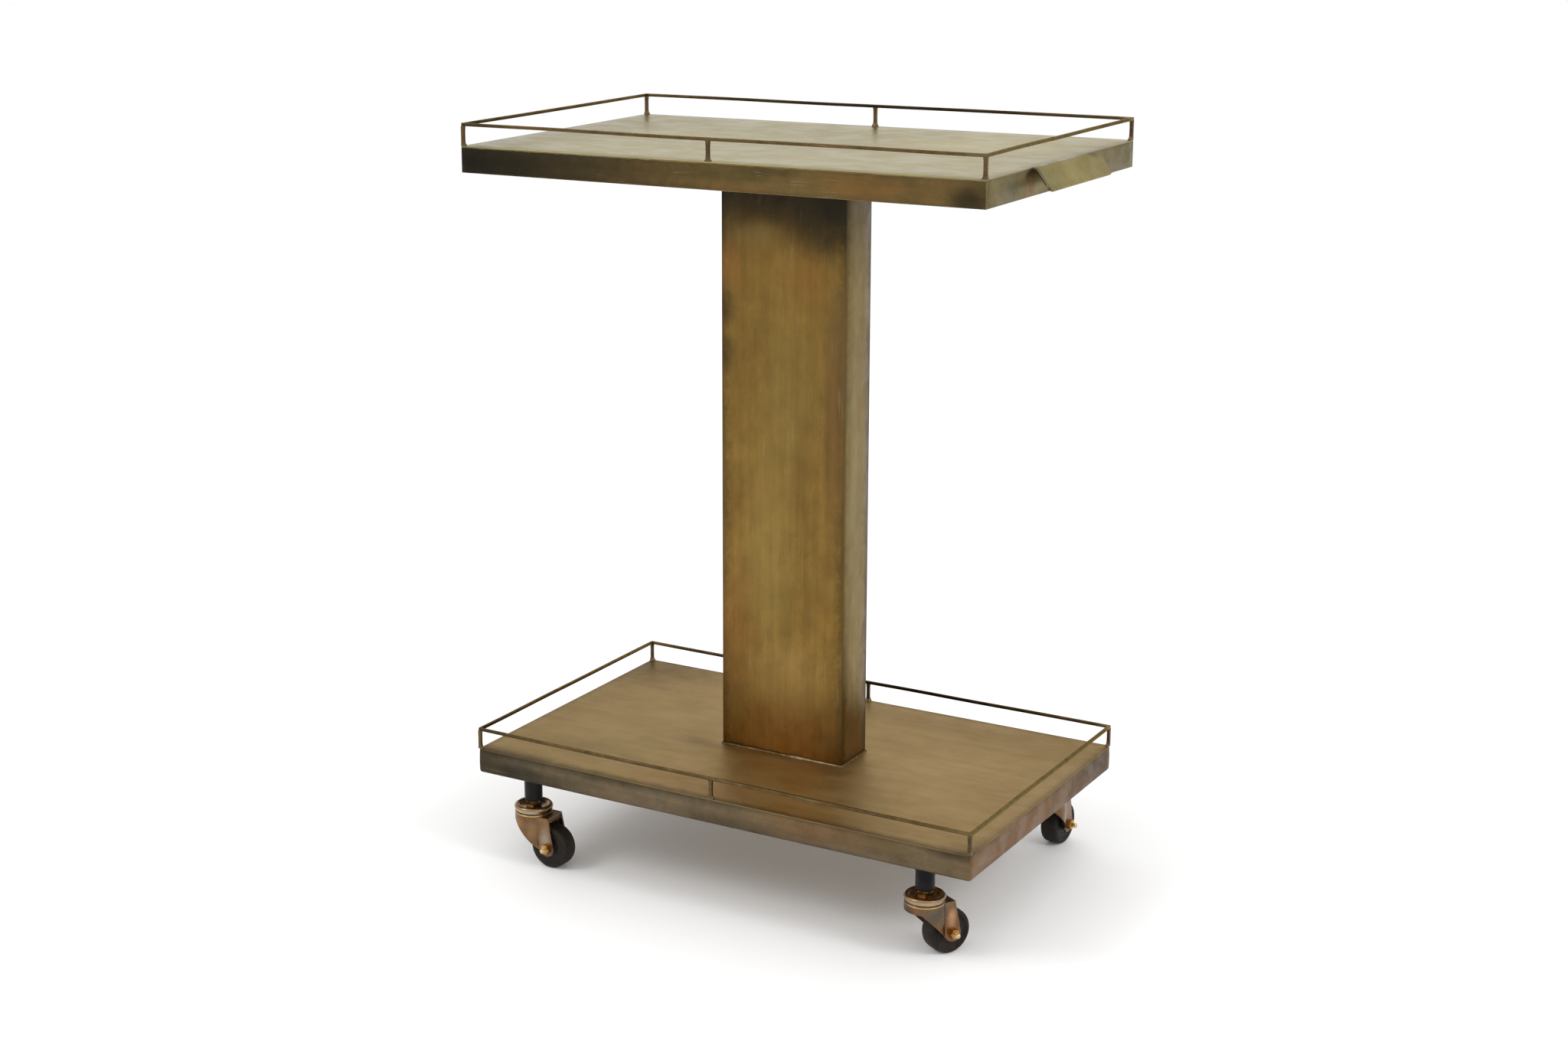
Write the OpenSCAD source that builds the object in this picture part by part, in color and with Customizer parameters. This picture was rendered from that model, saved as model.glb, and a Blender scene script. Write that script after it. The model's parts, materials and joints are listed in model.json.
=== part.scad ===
// Two-shelf bar cart in aged brass sheet, on a central column and four swivel casters.
// Millimetres, +Z up, the floor at z = 0. +X is the handle end, -Y the front.
// The origin is on the floor, under the middle of the whole cart's box.

/* [Shelves] */
// Length of each shelf
shelf_l = 620; // [440:5:900]
// Depth of each shelf
shelf_d = 377; // [280:1:600]
// Height of a shelf with its edges
shelf_h = 29; // [26:0.5:60]
// Clear height between the shelves
shelf_gap = 663; // [300:1:900]
// Thickness of the shelf, edge and column sheet
sheet_t = 1.5; // [1:0.1:2.5]

/* [Gallery rails] */
// Height of a rail's top above its shelf
rail_rise = 24.5; // [15:0.5:90]
// Side of the square rail bar
rail_s = 3.2; // [2:0.1:8]
// Side of the square post bar
post_s = 3.6; // [2:0.1:8]

/* [Handle] */
// Width of the handle along the shelf's end
handle_w = 163; // [80:1:240]
// Thickness of the handle strip
handle_t = 1.8; // [1:0.1:3]
// Slope of the handle strip, in degrees below level
handle_slope = 55; // [40:1:70]
// Length of the handle strip's straight slope
handle_run = 22; // [12:0.5:24]
// Radius of the bend at the top of the handle
handle_bend_r = 6; // [3:0.5:12]
// Radius of the outward curl at the handle's lip
handle_curl_r = 8; // [4:0.5:12]
// Radius of the handle's two lower corners
handle_corner_r = 7; // [2:0.5:10]

/* [Column] */
// Width of the column along the shelves
column_w = 154; // [100:1:220]
// Thickness of the column from front to back
column_t = 58.5; // [30:0.5:90]
// Thickness of the flange on the column's top
flange_t = 4; // [2:0.5:6]
// Margin of the flange around the column
flange_margin = 23; // [16:1:40]
// Size of the weld bead around the column's foot
bead_s = 3; // [1.5:0.5:6]

/* [Frame under the shelves] */
// Width of the two tubes under the top shelf
top_tube_w = 20; // [16:1:30]
// Height of the two tubes under the top shelf
top_tube_h = 16; // [12:0.5:16]
// Wall of the tubes under the top shelf
top_tube_wall = 1.5; // [1:0.1:2]
// Width of the tubes under the lower shelf
low_tube_w = 40; // [30:1:50]
// Height of the tubes under the lower shelf
low_tube_h = 20; // [19:0.5:24]
// Wall of the tubes under the lower shelf
low_tube_wall = 2; // [1:0.1:2.5]

/* [Casters] */
// Height from the floor to the lower shelf's bottom edge
ride_h = 104; // [96:0.5:140]
// Distance of a caster's stem from the shelf's end
stem_in_x = 61; // [40:1:120]
// Distance of a caster's stem from the shelf's front or back
stem_in_y = 21.5; // [20:0.5:80]
// Trail, from the stem's axis to the wheel's axle
trail = 27; // [20:0.5:32]
// How much nearer the middle the back stems stand
stem_shift_back = 5; // [0:0.5:8]
// Direction in which the front left wheel trails, in degrees
angle_front_left = -1; // [-180:1:180]
// Direction in which the front right wheel trails, in degrees
angle_front_right = 60; // [-180:1:180]
// Direction in which the back left wheel trails, in degrees
angle_back_left = 128; // [-180:1:180]
// Direction in which the back right wheel trails, in degrees
angle_back_right = 85; // [-180:1:180]
// Diameter of the wheel
wheel_d = 50; // [40:0.5:56]
// Width of the tyre
wheel_w = 21; // [14:0.5:26]
// Diameter of the hub inside the tyre
hub_d = 30; // [20:0.5:34]
// Diameter of the caster's stem
stem_d = 10; // [8:0.5:12]
// Outer diameter of the sleeve around the stem
sleeve_d = 20.8; // [16:0.5:24]
// Diameter of the swivel cup
cup_d = 44.6; // [38:0.2:50]
// Diameter of the bearing balls
ball_d = 5; // [4:0.1:5.5]
// Thickness of the fork sheet
fork_t = 2; // [1.5:0.1:2.5]
// Side gap between the hub and a fork leg
side_gap = 1; // [0.5:0.1:2]
// Gap between the wheel's top and the fork's crown
crown_gap = 9.5; // [8:0.5:14]

/* [Fasteners] */
// Diameter of the axle bolt
axle_d = 6; // [5:0.5:8]
// Diameter of the bolts that hold the column's flange
bolt_d = 6; // [4:0.5:6]

/* [Hidden] */
$fn = 64;
CORNERS = ["front_left", "front_right", "back_left", "back_right"];
CASTER_PIECES = ["fork", "swivel_balls", "axle_bolt", "axle_nut", "axle_bush", "wheel_hub", "tyre"];

// Clearances
eps = 0.01;
turn_gap = 0.05; // between a turning piece and its pin
bolt_gap = 0.1; // between a bolt and its hole
free_gap = 0.3; // between pieces that pass each other

// Levels above the floor
lower_top = ride_h + shelf_h;
upper_bottom = lower_top + shelf_gap;
upper_top = upper_bottom + shelf_h;
low_tube_z = lower_top - sheet_t - low_tube_h;
top_tube_z = upper_top - sheet_t - top_tube_h;
flange_z = top_tube_z - flange_t;

// Hexagon fasteners, as shares of the thread
function hex_d(d) = 1.92 * d; // across corners
function nut_h(d) = 0.8 * d;
function head_h(d) = 0.65 * d;
washer_t = 1.5;
washer_d = 2 * stem_d;

// Casters
SIDE = [[-1, -1], [1, -1], [-1, 1], [1, 1]];
ANGLES = [angle_front_left, angle_front_right, angle_back_left, angle_back_right];
stem_x = shelf_l / 2 - stem_in_x;
stem_y = shelf_d / 2 - stem_in_y;
function stem_at(k) = [
    SIDE[k][0] * (stem_x - (SIDE[k][1] > 0 ? stem_shift_back : 0)),
    SIDE[k][1] * stem_y,
    0
];
axle_z = wheel_d / 2;
hub_w = wheel_w + 2;
leg_in = hub_w / 2 + side_gap;
leg_out = leg_in + fork_t;
crown_z = wheel_d + crown_gap;
race_z = crown_z + fork_t;
crown_r = cup_d / 2 - 0.5;
plate_x = trail + 2;
leg_r = 9.5;
skirt_drop = 7.5;
lip_drop = 5;
cup_z = race_z + 3.5;
cup_t = 1.2;
roof_z = race_z + ball_d + free_gap;
seat_z = roof_z + cup_t;
sleeve_z = seat_z + nut_h(stem_d);
bead_r = 3.2;
ball_ring_r = crown_r - ball_d - 0.8;
pin_head_r = stem_d * 0.8;
pin_head_h = 1.6;
bush_d = axle_d + 2;
bolt_end = 6;

// Handle
curl_angle = 20;
handle_flat = 1.5;
bend_steps = 10;
handle_reach = handle_flat + handle_bend_r * sin(handle_slope) + handle_run * cos(handle_slope)
    + handle_curl_r * (sin(handle_slope) - sin(handle_slope - curl_angle));

// The origin is under the middle of the box, which the handle, the back wheels and a bolt end widen
function wheel_back(k) = SIDE[k][1] * stem_y + trail * sin(ANGLES[k])
    + wheel_d / 2 * abs(sin(ANGLES[k])) + wheel_w / 2 * abs(cos(ANGLES[k]));
function wheel_front(k) = SIDE[k][1] * stem_y + trail * sin(ANGLES[k])
    - wheel_d / 2 * abs(sin(ANGLES[k])) - wheel_w / 2 * abs(cos(ANGLES[k]));
function bolt_end_y(k) = SIDE[k][1] * stem_y + trail * sin(ANGLES[k])
    - (leg_out + nut_h(axle_d) + bolt_end - axle_d / 2) * cos(ANGLES[k]);
back_y = max([shelf_d / 2, for (k = [0:3]) max(wheel_back(k), bolt_end_y(k) + axle_d / 2)]);
front_y = min([-shelf_d / 2, for (k = [0:3]) min(wheel_front(k), bolt_end_y(k) - axle_d / 2)]);
centre = [-handle_reach / 2, -(back_y + front_y) / 2, 0];

// ---- Shared shapes ----

module box_between(low, high) {
    translate(low)
        cube(high - low);
}

// One sheet, level, over the whole shelf
module shelf_sheet(top) {
    box_between([-shelf_l / 2, -shelf_d / 2, top - sheet_t], [shelf_l / 2, shelf_d / 2, top]);
}

// Long edge strip on the side dir (-1 front, 1 back)
module long_skirt(bottom, dir) {
    y_out = dir * shelf_d / 2;
    y_in = y_out - dir * sheet_t;
    box_between(
        [-shelf_l / 2, min(y_out, y_in), bottom],
        [shelf_l / 2, max(y_out, y_in), bottom + shelf_h - sheet_t]
    );
}

// Short edge strip on the side dir (-1 left, 1 right), between the long ones
module short_skirt(bottom, dir) {
    x_out = dir * shelf_l / 2;
    x_in = x_out - dir * sheet_t;
    box_between(
        [min(x_out, x_in), -shelf_d / 2 + sheet_t, bottom],
        [max(x_out, x_in), shelf_d / 2 - sheet_t, bottom + shelf_h - sheet_t]
    );
}

// Four square bars with mitred ends, in one ring
module rail_ring(top) {
    half_l = shelf_l / 2;
    half_d = shelf_d / 2;
    for (side = [0, 1]) {
        mirror([0, side, 0])
            translate([0, 0, top + rail_rise - rail_s])
                linear_extrude(rail_s)
                    polygon([
                        [-half_l, -half_d],
                        [half_l, -half_d],
                        [half_l - rail_s, -half_d + rail_s],
                        [-half_l + rail_s, -half_d + rail_s]
                    ]);
        mirror([side, 0, 0])
            translate([0, 0, top + rail_rise - rail_s])
                linear_extrude(rail_s)
                    polygon([
                        [-half_l, -half_d],
                        [-half_l + rail_s, -half_d + rail_s],
                        [-half_l + rail_s, half_d - rail_s],
                        [-half_l, half_d]
                    ]);
    }
}

// A post at each corner and one in the middle of each long side
module rail_posts(top) {
    for (x = [-1, 0, 1])
        for (y = [-1, 1])
            translate([
                x * (shelf_l - post_s) / 2 - post_s / 2,
                y * (shelf_d - post_s) / 2 - post_s / 2,
                top
            ])
                cube([post_s, post_s, rail_rise - rail_s]);
}

// Square-cornered tube that runs front to back, centred on x
module tube_y(x, z, w, h, wall) {
    length = shelf_d - 2 * sheet_t;
    difference() {
        translate([x - w / 2, -length / 2, z])
            cube([w, length, h]);
        translate([x - w / 2 + wall, -length / 2 - 1, z + wall])
            cube([w - 2 * wall, length + 2, h - 2 * wall]);
    }
}

module hex(d, h) {
    cylinder(d = hex_d(d), h = h, $fn = 6);
}

module hex_nut(d, h) {
    difference() {
        hex(d, h);
        translate([0, 0, -1])
            cylinder(d = d + 2 * turn_gap, h = h + 2);
    }
}

// ---- Shelves ----

module top_sheet() {
    color([0.56, 0.53, 0.40])
        shelf_sheet(upper_top);
}

module lower_sheet() {
    color([0.54, 0.48, 0.34])
        shelf_sheet(lower_top);
}

module top_long_skirt(dir) {
    color([0.47, 0.41, 0.26])
        long_skirt(upper_bottom, dir);
}

module top_short_skirt(dir) {
    color([0.50, 0.47, 0.32])
        short_skirt(upper_bottom, dir);
}

module lower_long_skirt(dir) {
    color([0.40, 0.35, 0.25])
        long_skirt(ride_h, dir);
}

module lower_short_skirt(dir) {
    color([0.44, 0.40, 0.30])
        short_skirt(ride_h, dir);
}

module top_rails() {
    color([0.42, 0.36, 0.24])
        rail_ring(upper_top);
}

module lower_rails() {
    color([0.42, 0.36, 0.24])
        rail_ring(lower_top);
}

module top_posts() {
    color([0.45, 0.37, 0.25])
        rail_posts(upper_top);
}

module lower_posts() {
    color([0.45, 0.37, 0.25])
        rail_posts(lower_top);
}

// ---- Handle ----

// The strip's upper line, as [x, z, slope]: flat, bend, straight slope, outward curl
function bend_line() = [
    for (i = [0:bend_steps])
        let (a = handle_slope * i / bend_steps)
            [handle_flat + handle_bend_r * sin(a), -handle_bend_r * (1 - cos(a)), a]
];
function curl_line(x, z) = [
    for (i = [0:bend_steps])
        let (a = handle_slope - curl_angle * i / bend_steps)
            [
                x + handle_curl_r * (sin(handle_slope) - sin(a)),
                z - handle_curl_r * (cos(a) - cos(handle_slope)),
                a
            ]
];
slope_x = handle_flat + handle_bend_r * sin(handle_slope) + handle_run * cos(handle_slope);
slope_z = -handle_bend_r * (1 - cos(handle_slope)) - handle_run * sin(handle_slope);
handle_line = concat([[0, 0, 0]], bend_line(), curl_line(slope_x, slope_z));

module handle_section() {
    upper = [for (p = handle_line) [p[0], p[1]]];
    lower = [for (p = handle_line) [p[0] - handle_t * sin(p[2]), p[1] - handle_t * cos(p[2])]];
    polygon(concat(upper, [for (i = [len(lower) - 1:-1:0]) lower[i]]));
}

// What a lower corner loses: a square less its rounded quarter
module handle_corner_cut() {
    tip = handle_line[len(handle_line) - 1];
    translate([tip[0], handle_w / 2, tip[1]])
        rotate([0, handle_slope - curl_angle / 2, 0])
            translate([-handle_corner_r, -handle_corner_r, -8])
                difference() {
                    cube([2 * handle_corner_r, 2 * handle_corner_r, 16]);
                    translate([0, 0, -1])
                        cylinder(r = handle_corner_r, h = 18);
                }
}

module handle_lip() {
    color([0.52, 0.48, 0.30])
        translate([shelf_l / 2, 0, upper_top])
            difference() {
                translate([0, handle_w / 2, 0])
                    rotate([90, 0, 0])
                        linear_extrude(handle_w)
                            handle_section();
                handle_corner_cut();
                mirror([0, 1, 0])
                    handle_corner_cut();
            }
}

// ---- Frame under the shelves ----

// Where the flange's bolts stand, clear of the column
bolt_x = column_w / 2 - 17;
bolt_y = column_t / 2 + flange_margin * 0.55;

module at_flange_bolts() {
    for (x = [-1, 1])
        for (y = [-1, 1])
            translate([x * bolt_x, y * bolt_y, 0])
                children();
}

module top_tubes() {
    color([0.30, 0.29, 0.27])
        difference() {
            for (side = [-1, 1])
                tube_y(side * bolt_x, top_tube_z, top_tube_w, top_tube_h, top_tube_wall);
            at_flange_bolts()
                translate([0, 0, top_tube_z - 1])
                    cylinder(d = bolt_d + 2 * bolt_gap, h = top_tube_wall + 2);
        }
}

module lower_cross_tubes() {
    color([0.30, 0.29, 0.27])
        difference() {
            for (side = [-1, 1])
                tube_y(side * stem_x, low_tube_z, low_tube_w, low_tube_h, low_tube_wall);
            for (k = [0:3])
                translate(stem_at(k) + [0, 0, low_tube_z - 1])
                    cylinder(d = stem_d + 2 * bolt_gap, h = low_tube_wall + 2);
        }
}

// Tube along the middle of the lower shelf, between the two cross tubes
module lower_spine_tube() {
    length = 2 * stem_x - low_tube_w;
    color([0.30, 0.29, 0.27])
        difference() {
            translate([-length / 2, -low_tube_w / 2, low_tube_z])
                cube([length, low_tube_w, low_tube_h]);
            translate([-length / 2 - 1, -low_tube_w / 2 + low_tube_wall, low_tube_z + low_tube_wall])
                cube([length + 2, low_tube_w - 2 * low_tube_wall, low_tube_h - 2 * low_tube_wall]);
        }
}

// ---- Column ----

module column_broad(dir) {
    y_out = dir * column_t / 2;
    y_in = y_out - dir * sheet_t;
    color([0.48, 0.34, 0.17])
        box_between(
            [-column_w / 2, min(y_out, y_in), lower_top],
            [column_w / 2, max(y_out, y_in), flange_z]
        );
}

module column_narrow(dir) {
    x_out = dir * column_w / 2;
    x_in = x_out - dir * sheet_t;
    color([0.49, 0.40, 0.22])
        box_between(
            [min(x_out, x_in), -column_t / 2 + sheet_t, lower_top],
            [max(x_out, x_in), column_t / 2 - sheet_t, flange_z]
        );
}

module column_flange() {
    color([0.32, 0.30, 0.27])
        difference() {
            translate([-column_w / 2 - 3, -column_t / 2 - flange_margin, flange_z])
                cube([column_w + 6, column_t + 2 * flange_margin, flange_t]);
            at_flange_bolts()
                translate([0, 0, flange_z - 1])
                    cylinder(d = bolt_d + 2 * bolt_gap, h = flange_t + 2);
        }
}

// Three-sided bar along one side of the column's foot, length long
module bead_bar(length, offset) {
    translate([-length / 2, -offset, lower_top])
        rotate([90, 0, 90])
            linear_extrude(length)
                polygon([[0, 0], [-bead_s, 0], [0, bead_s]]);
}

module column_foot_bead() {
    color([0.62, 0.52, 0.32])
        difference() {
            for (turn = [0, 180]) {
                rotate([0, 0, turn])
                    bead_bar(column_w + 2 * bead_s, column_t / 2);
                rotate([0, 0, turn + 90])
                    bead_bar(column_t + 2 * bead_s, column_w / 2);
            }
            translate([-column_w / 2, -column_t / 2, lower_top - 1])
                cube([column_w, column_t, bead_s + 2]);
        }
}

module column_bolts() {
    grip = flange_t + top_tube_wall + nut_h(bolt_d);
    color([0.45, 0.43, 0.40])
        at_flange_bolts()
            translate([0, 0, flange_z]) {
                translate([0, 0, -head_h(bolt_d)])
                    hex(bolt_d, head_h(bolt_d));
                cylinder(d = bolt_d, h = grip + 1.5);
            }
}

module column_nuts() {
    color([0.45, 0.43, 0.40])
        at_flange_bolts()
            translate([0, 0, top_tube_z + top_tube_wall])
                hex_nut(bolt_d, nut_h(bolt_d));
}

// ---- Casters: what stays still on the cart ----

module at_stems() {
    for (k = [0:3])
        translate(stem_at(k))
            children();
}

tube_floor_z = low_tube_z + low_tube_wall;

// Threaded stem with the broad head that carries the fork
module caster_stems() {
    top = tube_floor_z + washer_t + nut_h(stem_d) + 1.5;
    head_z = crown_z - free_gap - pin_head_h;
    color([0.50, 0.45, 0.35])
        at_stems() {
            translate([0, 0, head_z])
                cylinder(r = pin_head_r, h = pin_head_h);
            translate([0, 0, head_z + eps])
                cylinder(d = stem_d, h = top - head_z - eps);
        }
}

module caster_washers() {
    color([0.50, 0.48, 0.44])
        at_stems()
            translate([0, 0, tube_floor_z])
                difference() {
                    cylinder(d = washer_d, h = washer_t);
                    translate([0, 0, -1])
                        cylinder(d = stem_d + 2 * bolt_gap, h = washer_t + 2);
                }
}

module caster_nuts() {
    color([0.50, 0.48, 0.44])
        at_stems()
            translate([0, 0, tube_floor_z + washer_t])
                hex_nut(stem_d, nut_h(stem_d));
}

module caster_sleeves() {
    color([0.13, 0.13, 0.15])
        at_stems()
            translate([0, 0, sleeve_z])
                difference() {
                    cylinder(d = sleeve_d, h = low_tube_z - sleeve_z);
                    translate([0, 0, -1])
                        cylinder(d = stem_d + 2 * bolt_gap, h = low_tube_z - sleeve_z + 2);
                }
}

// Nut that clamps the cup under the sleeve
module caster_locknuts() {
    color([0.30, 0.23, 0.14])
        at_stems()
            translate([0, 0, seat_z])
                hex_nut(stem_d, nut_h(stem_d));
}

// Pressed cup: an outer wall, a round bead at the rim and a dished floor under the lock nut
module cup_section() {
    rim_r = cup_d / 2;
    bead_z = seat_z - cup_t + bead_r / 2;
    wall_r = rim_r - 1;
    seat_r = hex_d(stem_d) / 2 + 1.2;
    union() {
        translate([wall_r - cup_t, cup_z])
            square([cup_t, bead_z - cup_z]);
        difference() {
            translate([rim_r - bead_r, bead_z])
                circle(r = bead_r);
            square([wall_r - cup_t, roof_z]);
        }
        polygon([
            [stem_d / 2, roof_z],
            [rim_r - bead_r, roof_z],
            [rim_r - bead_r, bead_z + bead_r * 0.8],
            [seat_r, seat_z],
            [stem_d / 2, seat_z]
        ]);
    }
}

module caster_cups() {
    color([0.30, 0.23, 0.14])
        at_stems()
            rotate_extrude()
                cup_section();
}

// ---- Casters: what swivels, in its own frame with the wheel trailing along +X ----

module at_caster(k) {
    translate(stem_at(k))
        rotate([0, 0, ANGLES[k]])
            children();
}

module at_axle() {
    translate([trail, 0, axle_z])
        rotate([90, 0, 0])
            children();
}

// Plan of the fork, smaller all round by inset
module fork_plan(inset) {
    circle(r = crown_r - inset);
    translate([0, -leg_out + inset])
        square([trail + leg_r + 5, 2 * (leg_out - inset)]);
}

// Point where a line from p touches the round end of the leg, on the side dir
function touch(p, dir) =
    let (
        c = [trail, axle_z],
        d = norm(p - c),
        a = atan2(p[1] - c[1], p[0] - c[0]) + dir * acos(leg_r / d)
    )
        c + leg_r * [cos(a), sin(a)];

// Side view of the fork: the crown's rim, and a leg that narrows to a round end
module fork_side() {
    heel = [-leg_out, race_z - skirt_drop];
    toe = [plate_x, race_z];
    polygon([
        [-crown_r - 1, race_z],
        [-crown_r - 1, race_z - skirt_drop],
        heel,
        touch(heel, 1),
        [trail, axle_z],
        touch(toe, -1),
        toe
    ]);
    translate([trail, axle_z])
        circle(r = leg_r);
}

module fork() {
    height = race_z - axle_z + leg_r;
    color([0.52, 0.38, 0.26])
        difference() {
            union() {
                intersection() {
                    translate([0, 0, race_z - height])
                        difference() {
                            linear_extrude(height)
                                fork_plan(0);
                            translate([0, 0, -fork_t])
                                linear_extrude(height)
                                    fork_plan(fork_t);
                        }
                    rotate([90, 0, 0])
                        translate([0, 0, -crown_r - 1])
                            linear_extrude(2 * crown_r + 2)
                                fork_side();
                }
                translate([plate_x - fork_t, -leg_in, race_z - lip_drop])
                    cube([fork_t, 2 * leg_in, lip_drop]);
                translate([0, 0, race_z - eps])
                    difference() {
                        cylinder(r = crown_r - 0.5, h = cup_z - race_z - free_gap);
                        translate([0, 0, -1])
                            cylinder(r = crown_r - 1.8, h = cup_z - race_z + 2);
                    }
            }
            translate([0, 0, crown_z - 1])
                cylinder(d = stem_d + 2 * turn_gap, h = fork_t + 2);
            at_axle()
                translate([0, 0, -leg_out - 1])
                    cylinder(d = axle_d + 2 * bolt_gap, h = 2 * leg_out + 2);
        }
}

module swivel_balls() {
    count = floor(3.14 * ball_ring_r * 2 / (ball_d * 1.35));
    color([0.75, 0.75, 0.76])
        for (i = [0:count - 1])
            rotate([0, 0, 360 * i / count])
                translate([ball_ring_r, 0, race_z + ball_d / 2])
                    sphere(d = ball_d);
}

module axle_bolt() {
    nut_face = leg_out + nut_h(axle_d);
    color([0.66, 0.50, 0.26])
        at_axle() {
            translate([0, 0, -leg_out - head_h(axle_d)])
                hex(axle_d, head_h(axle_d));
            translate([0, 0, -leg_out - eps])
                cylinder(d = axle_d, h = leg_out + nut_face + bolt_end - axle_d / 2 + eps);
            translate([0, 0, nut_face + bolt_end - axle_d / 2])
                sphere(d = axle_d);
        }
}

module axle_nut() {
    color([0.62, 0.42, 0.16])
        at_axle()
            translate([0, 0, leg_out])
                hex_nut(axle_d, nut_h(axle_d));
}

// Spacer tube between the legs, on which the wheel turns
module axle_bush() {
    color([0.60, 0.58, 0.52])
        at_axle()
            translate([0, 0, -leg_in])
                difference() {
                    cylinder(d = bush_d, h = 2 * leg_in);
                    translate([0, 0, -1])
                        cylinder(d = axle_d + 2 * bolt_gap, h = 2 * leg_in + 2);
                }
}

// ---- Casters: what rolls ----

module wheel_hub() {
    boss_d = bush_d + 6;
    color([0.10, 0.09, 0.09])
        at_axle()
            difference() {
                union() {
                    translate([0, 0, -wheel_w / 2 + 1])
                        cylinder(d = hub_d, h = wheel_w - 2);
                    translate([0, 0, -hub_w / 2])
                        cylinder(d = boss_d, h = hub_w);
                }
                translate([0, 0, -hub_w / 2 - 1])
                    cylinder(d = bush_d + 2 * turn_gap, h = hub_w + 2);
            }
}

module tyre() {
    shoulder_r = min(3, (wheel_d - hub_d) / 4);
    color([0.07, 0.06, 0.06])
        at_axle()
            rotate_extrude() {
                translate([hub_d / 2, -wheel_w / 2])
                    square([wheel_d / 2 - shoulder_r - hub_d / 2, wheel_w]);
                translate([hub_d / 2, -wheel_w / 2 + shoulder_r])
                    square([wheel_d / 2 - hub_d / 2, wheel_w - 2 * shoulder_r]);
                for (side = [-1, 1])
                    translate([wheel_d / 2 - shoulder_r, side * (wheel_w / 2 - shoulder_r)])
                        circle(r = shoulder_r);
            }
}

// ---- The cart, about its own origin ----

module on_cart() {
    translate(centre)
        children();
}

module on_caster(k) {
    on_cart()
        at_caster(k)
            children();
}

on_cart() top_sheet();
on_cart() top_long_skirt(-1);  // top_skirt_front
on_cart() top_long_skirt(1);  // top_skirt_back
on_cart() top_short_skirt(-1);  // top_skirt_left
on_cart() top_short_skirt(1);  // top_skirt_right
on_cart() handle_lip();
on_cart() top_rails();
on_cart() top_posts();
on_cart() top_tubes();
on_cart() lower_sheet();
on_cart() lower_long_skirt(-1);  // lower_skirt_front
on_cart() lower_long_skirt(1);  // lower_skirt_back
on_cart() lower_short_skirt(-1);  // lower_skirt_left
on_cart() lower_short_skirt(1);  // lower_skirt_right
on_cart() lower_rails();
on_cart() lower_posts();
on_cart() lower_cross_tubes();
on_cart() lower_spine_tube();
on_cart() column_broad(-1);  // column_front
on_cart() column_broad(1);  // column_back
on_cart() column_narrow(-1);  // column_left
on_cart() column_narrow(1);  // column_right
on_cart() column_flange();
on_cart() column_foot_bead();
on_cart() column_bolts();
on_cart() column_nuts();
on_cart() caster_stems();
on_cart() caster_nuts();
on_cart() caster_washers();
on_cart() caster_sleeves();
on_cart() caster_locknuts();
on_cart() caster_cups();
for (k = [0:3]) {
    on_caster(k) fork();
    on_caster(k) swivel_balls();
    on_caster(k) axle_bolt();
    on_caster(k) axle_nut();
    on_caster(k) axle_bush();
    on_caster(k) wheel_hub();
    on_caster(k) tyre();
}
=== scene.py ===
# %% [markdown]
# # A bar cart in aged brass
# The real cart is hand made: thin sheet cut with shears, bent or butted at the corners, brazed and
# then darkened with acid until it goes olive, gold and copper brown in clouds. We load the engineered
# model first, because every size and place in this lesson comes from it.

import json
import math

import bmesh
import bpy
from mathutils import Matrix, Vector, noise


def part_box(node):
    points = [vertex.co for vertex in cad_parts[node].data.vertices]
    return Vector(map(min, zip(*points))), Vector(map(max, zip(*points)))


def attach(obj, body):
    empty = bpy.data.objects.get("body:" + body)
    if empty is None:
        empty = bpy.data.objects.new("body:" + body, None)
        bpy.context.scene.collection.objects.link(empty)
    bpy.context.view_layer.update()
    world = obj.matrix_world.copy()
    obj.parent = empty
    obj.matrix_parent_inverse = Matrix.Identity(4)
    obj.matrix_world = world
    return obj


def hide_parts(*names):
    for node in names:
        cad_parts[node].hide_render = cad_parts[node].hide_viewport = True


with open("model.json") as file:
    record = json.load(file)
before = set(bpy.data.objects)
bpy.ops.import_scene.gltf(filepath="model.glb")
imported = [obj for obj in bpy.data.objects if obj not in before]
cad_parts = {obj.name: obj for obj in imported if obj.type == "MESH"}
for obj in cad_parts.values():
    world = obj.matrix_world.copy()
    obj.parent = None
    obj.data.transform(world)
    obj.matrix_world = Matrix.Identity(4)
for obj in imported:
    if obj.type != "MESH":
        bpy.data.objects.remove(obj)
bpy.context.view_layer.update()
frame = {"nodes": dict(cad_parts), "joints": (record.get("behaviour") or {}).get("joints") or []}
MM = 0.001

# %% [markdown]
# ## The camera
# The view is from a standing person's chest height, with a lens a little longer than normal, so that
# the upright edges stay nearly upright. We place the camera from the middle of the lower shelf, and
# turn the azimuth, the elevation and the slight roll into three axes. The other way, aiming at a
# target with a constraint, would hide the roll.

# %% Camera
LENS = 56.8
LENS_SHIFT = (0.0896, -0.0248)
CAMERA_PLACE = (1.2915, -2.3545, 1.0257)  # metres from the middle of the lower shelf
lower_low, lower_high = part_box("lower_skirt_front")
sheet_low, sheet_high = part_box("lower_sheet")
cart_middle = Vector((
    (sheet_low.x + sheet_high.x) / 2,
    (sheet_low.y + sheet_high.y) / 2,
    lower_low.z,
))
azimuth = math.radians(32.36)
elevation = math.radians(14.29)
roll = math.radians(-0.63)
back = Vector((
    math.sin(azimuth) * math.cos(elevation),
    -math.cos(azimuth) * math.cos(elevation),
    math.sin(elevation),
))
level = Vector((math.cos(azimuth), math.sin(azimuth), 0))
upright = back.cross(level)
right = math.cos(roll) * level + math.sin(roll) * upright
up = math.cos(roll) * upright - math.sin(roll) * level
camera_data = bpy.data.cameras.new("camera")
camera_data.lens = LENS
camera_data.shift_x, camera_data.shift_y = LENS_SHIFT
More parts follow.
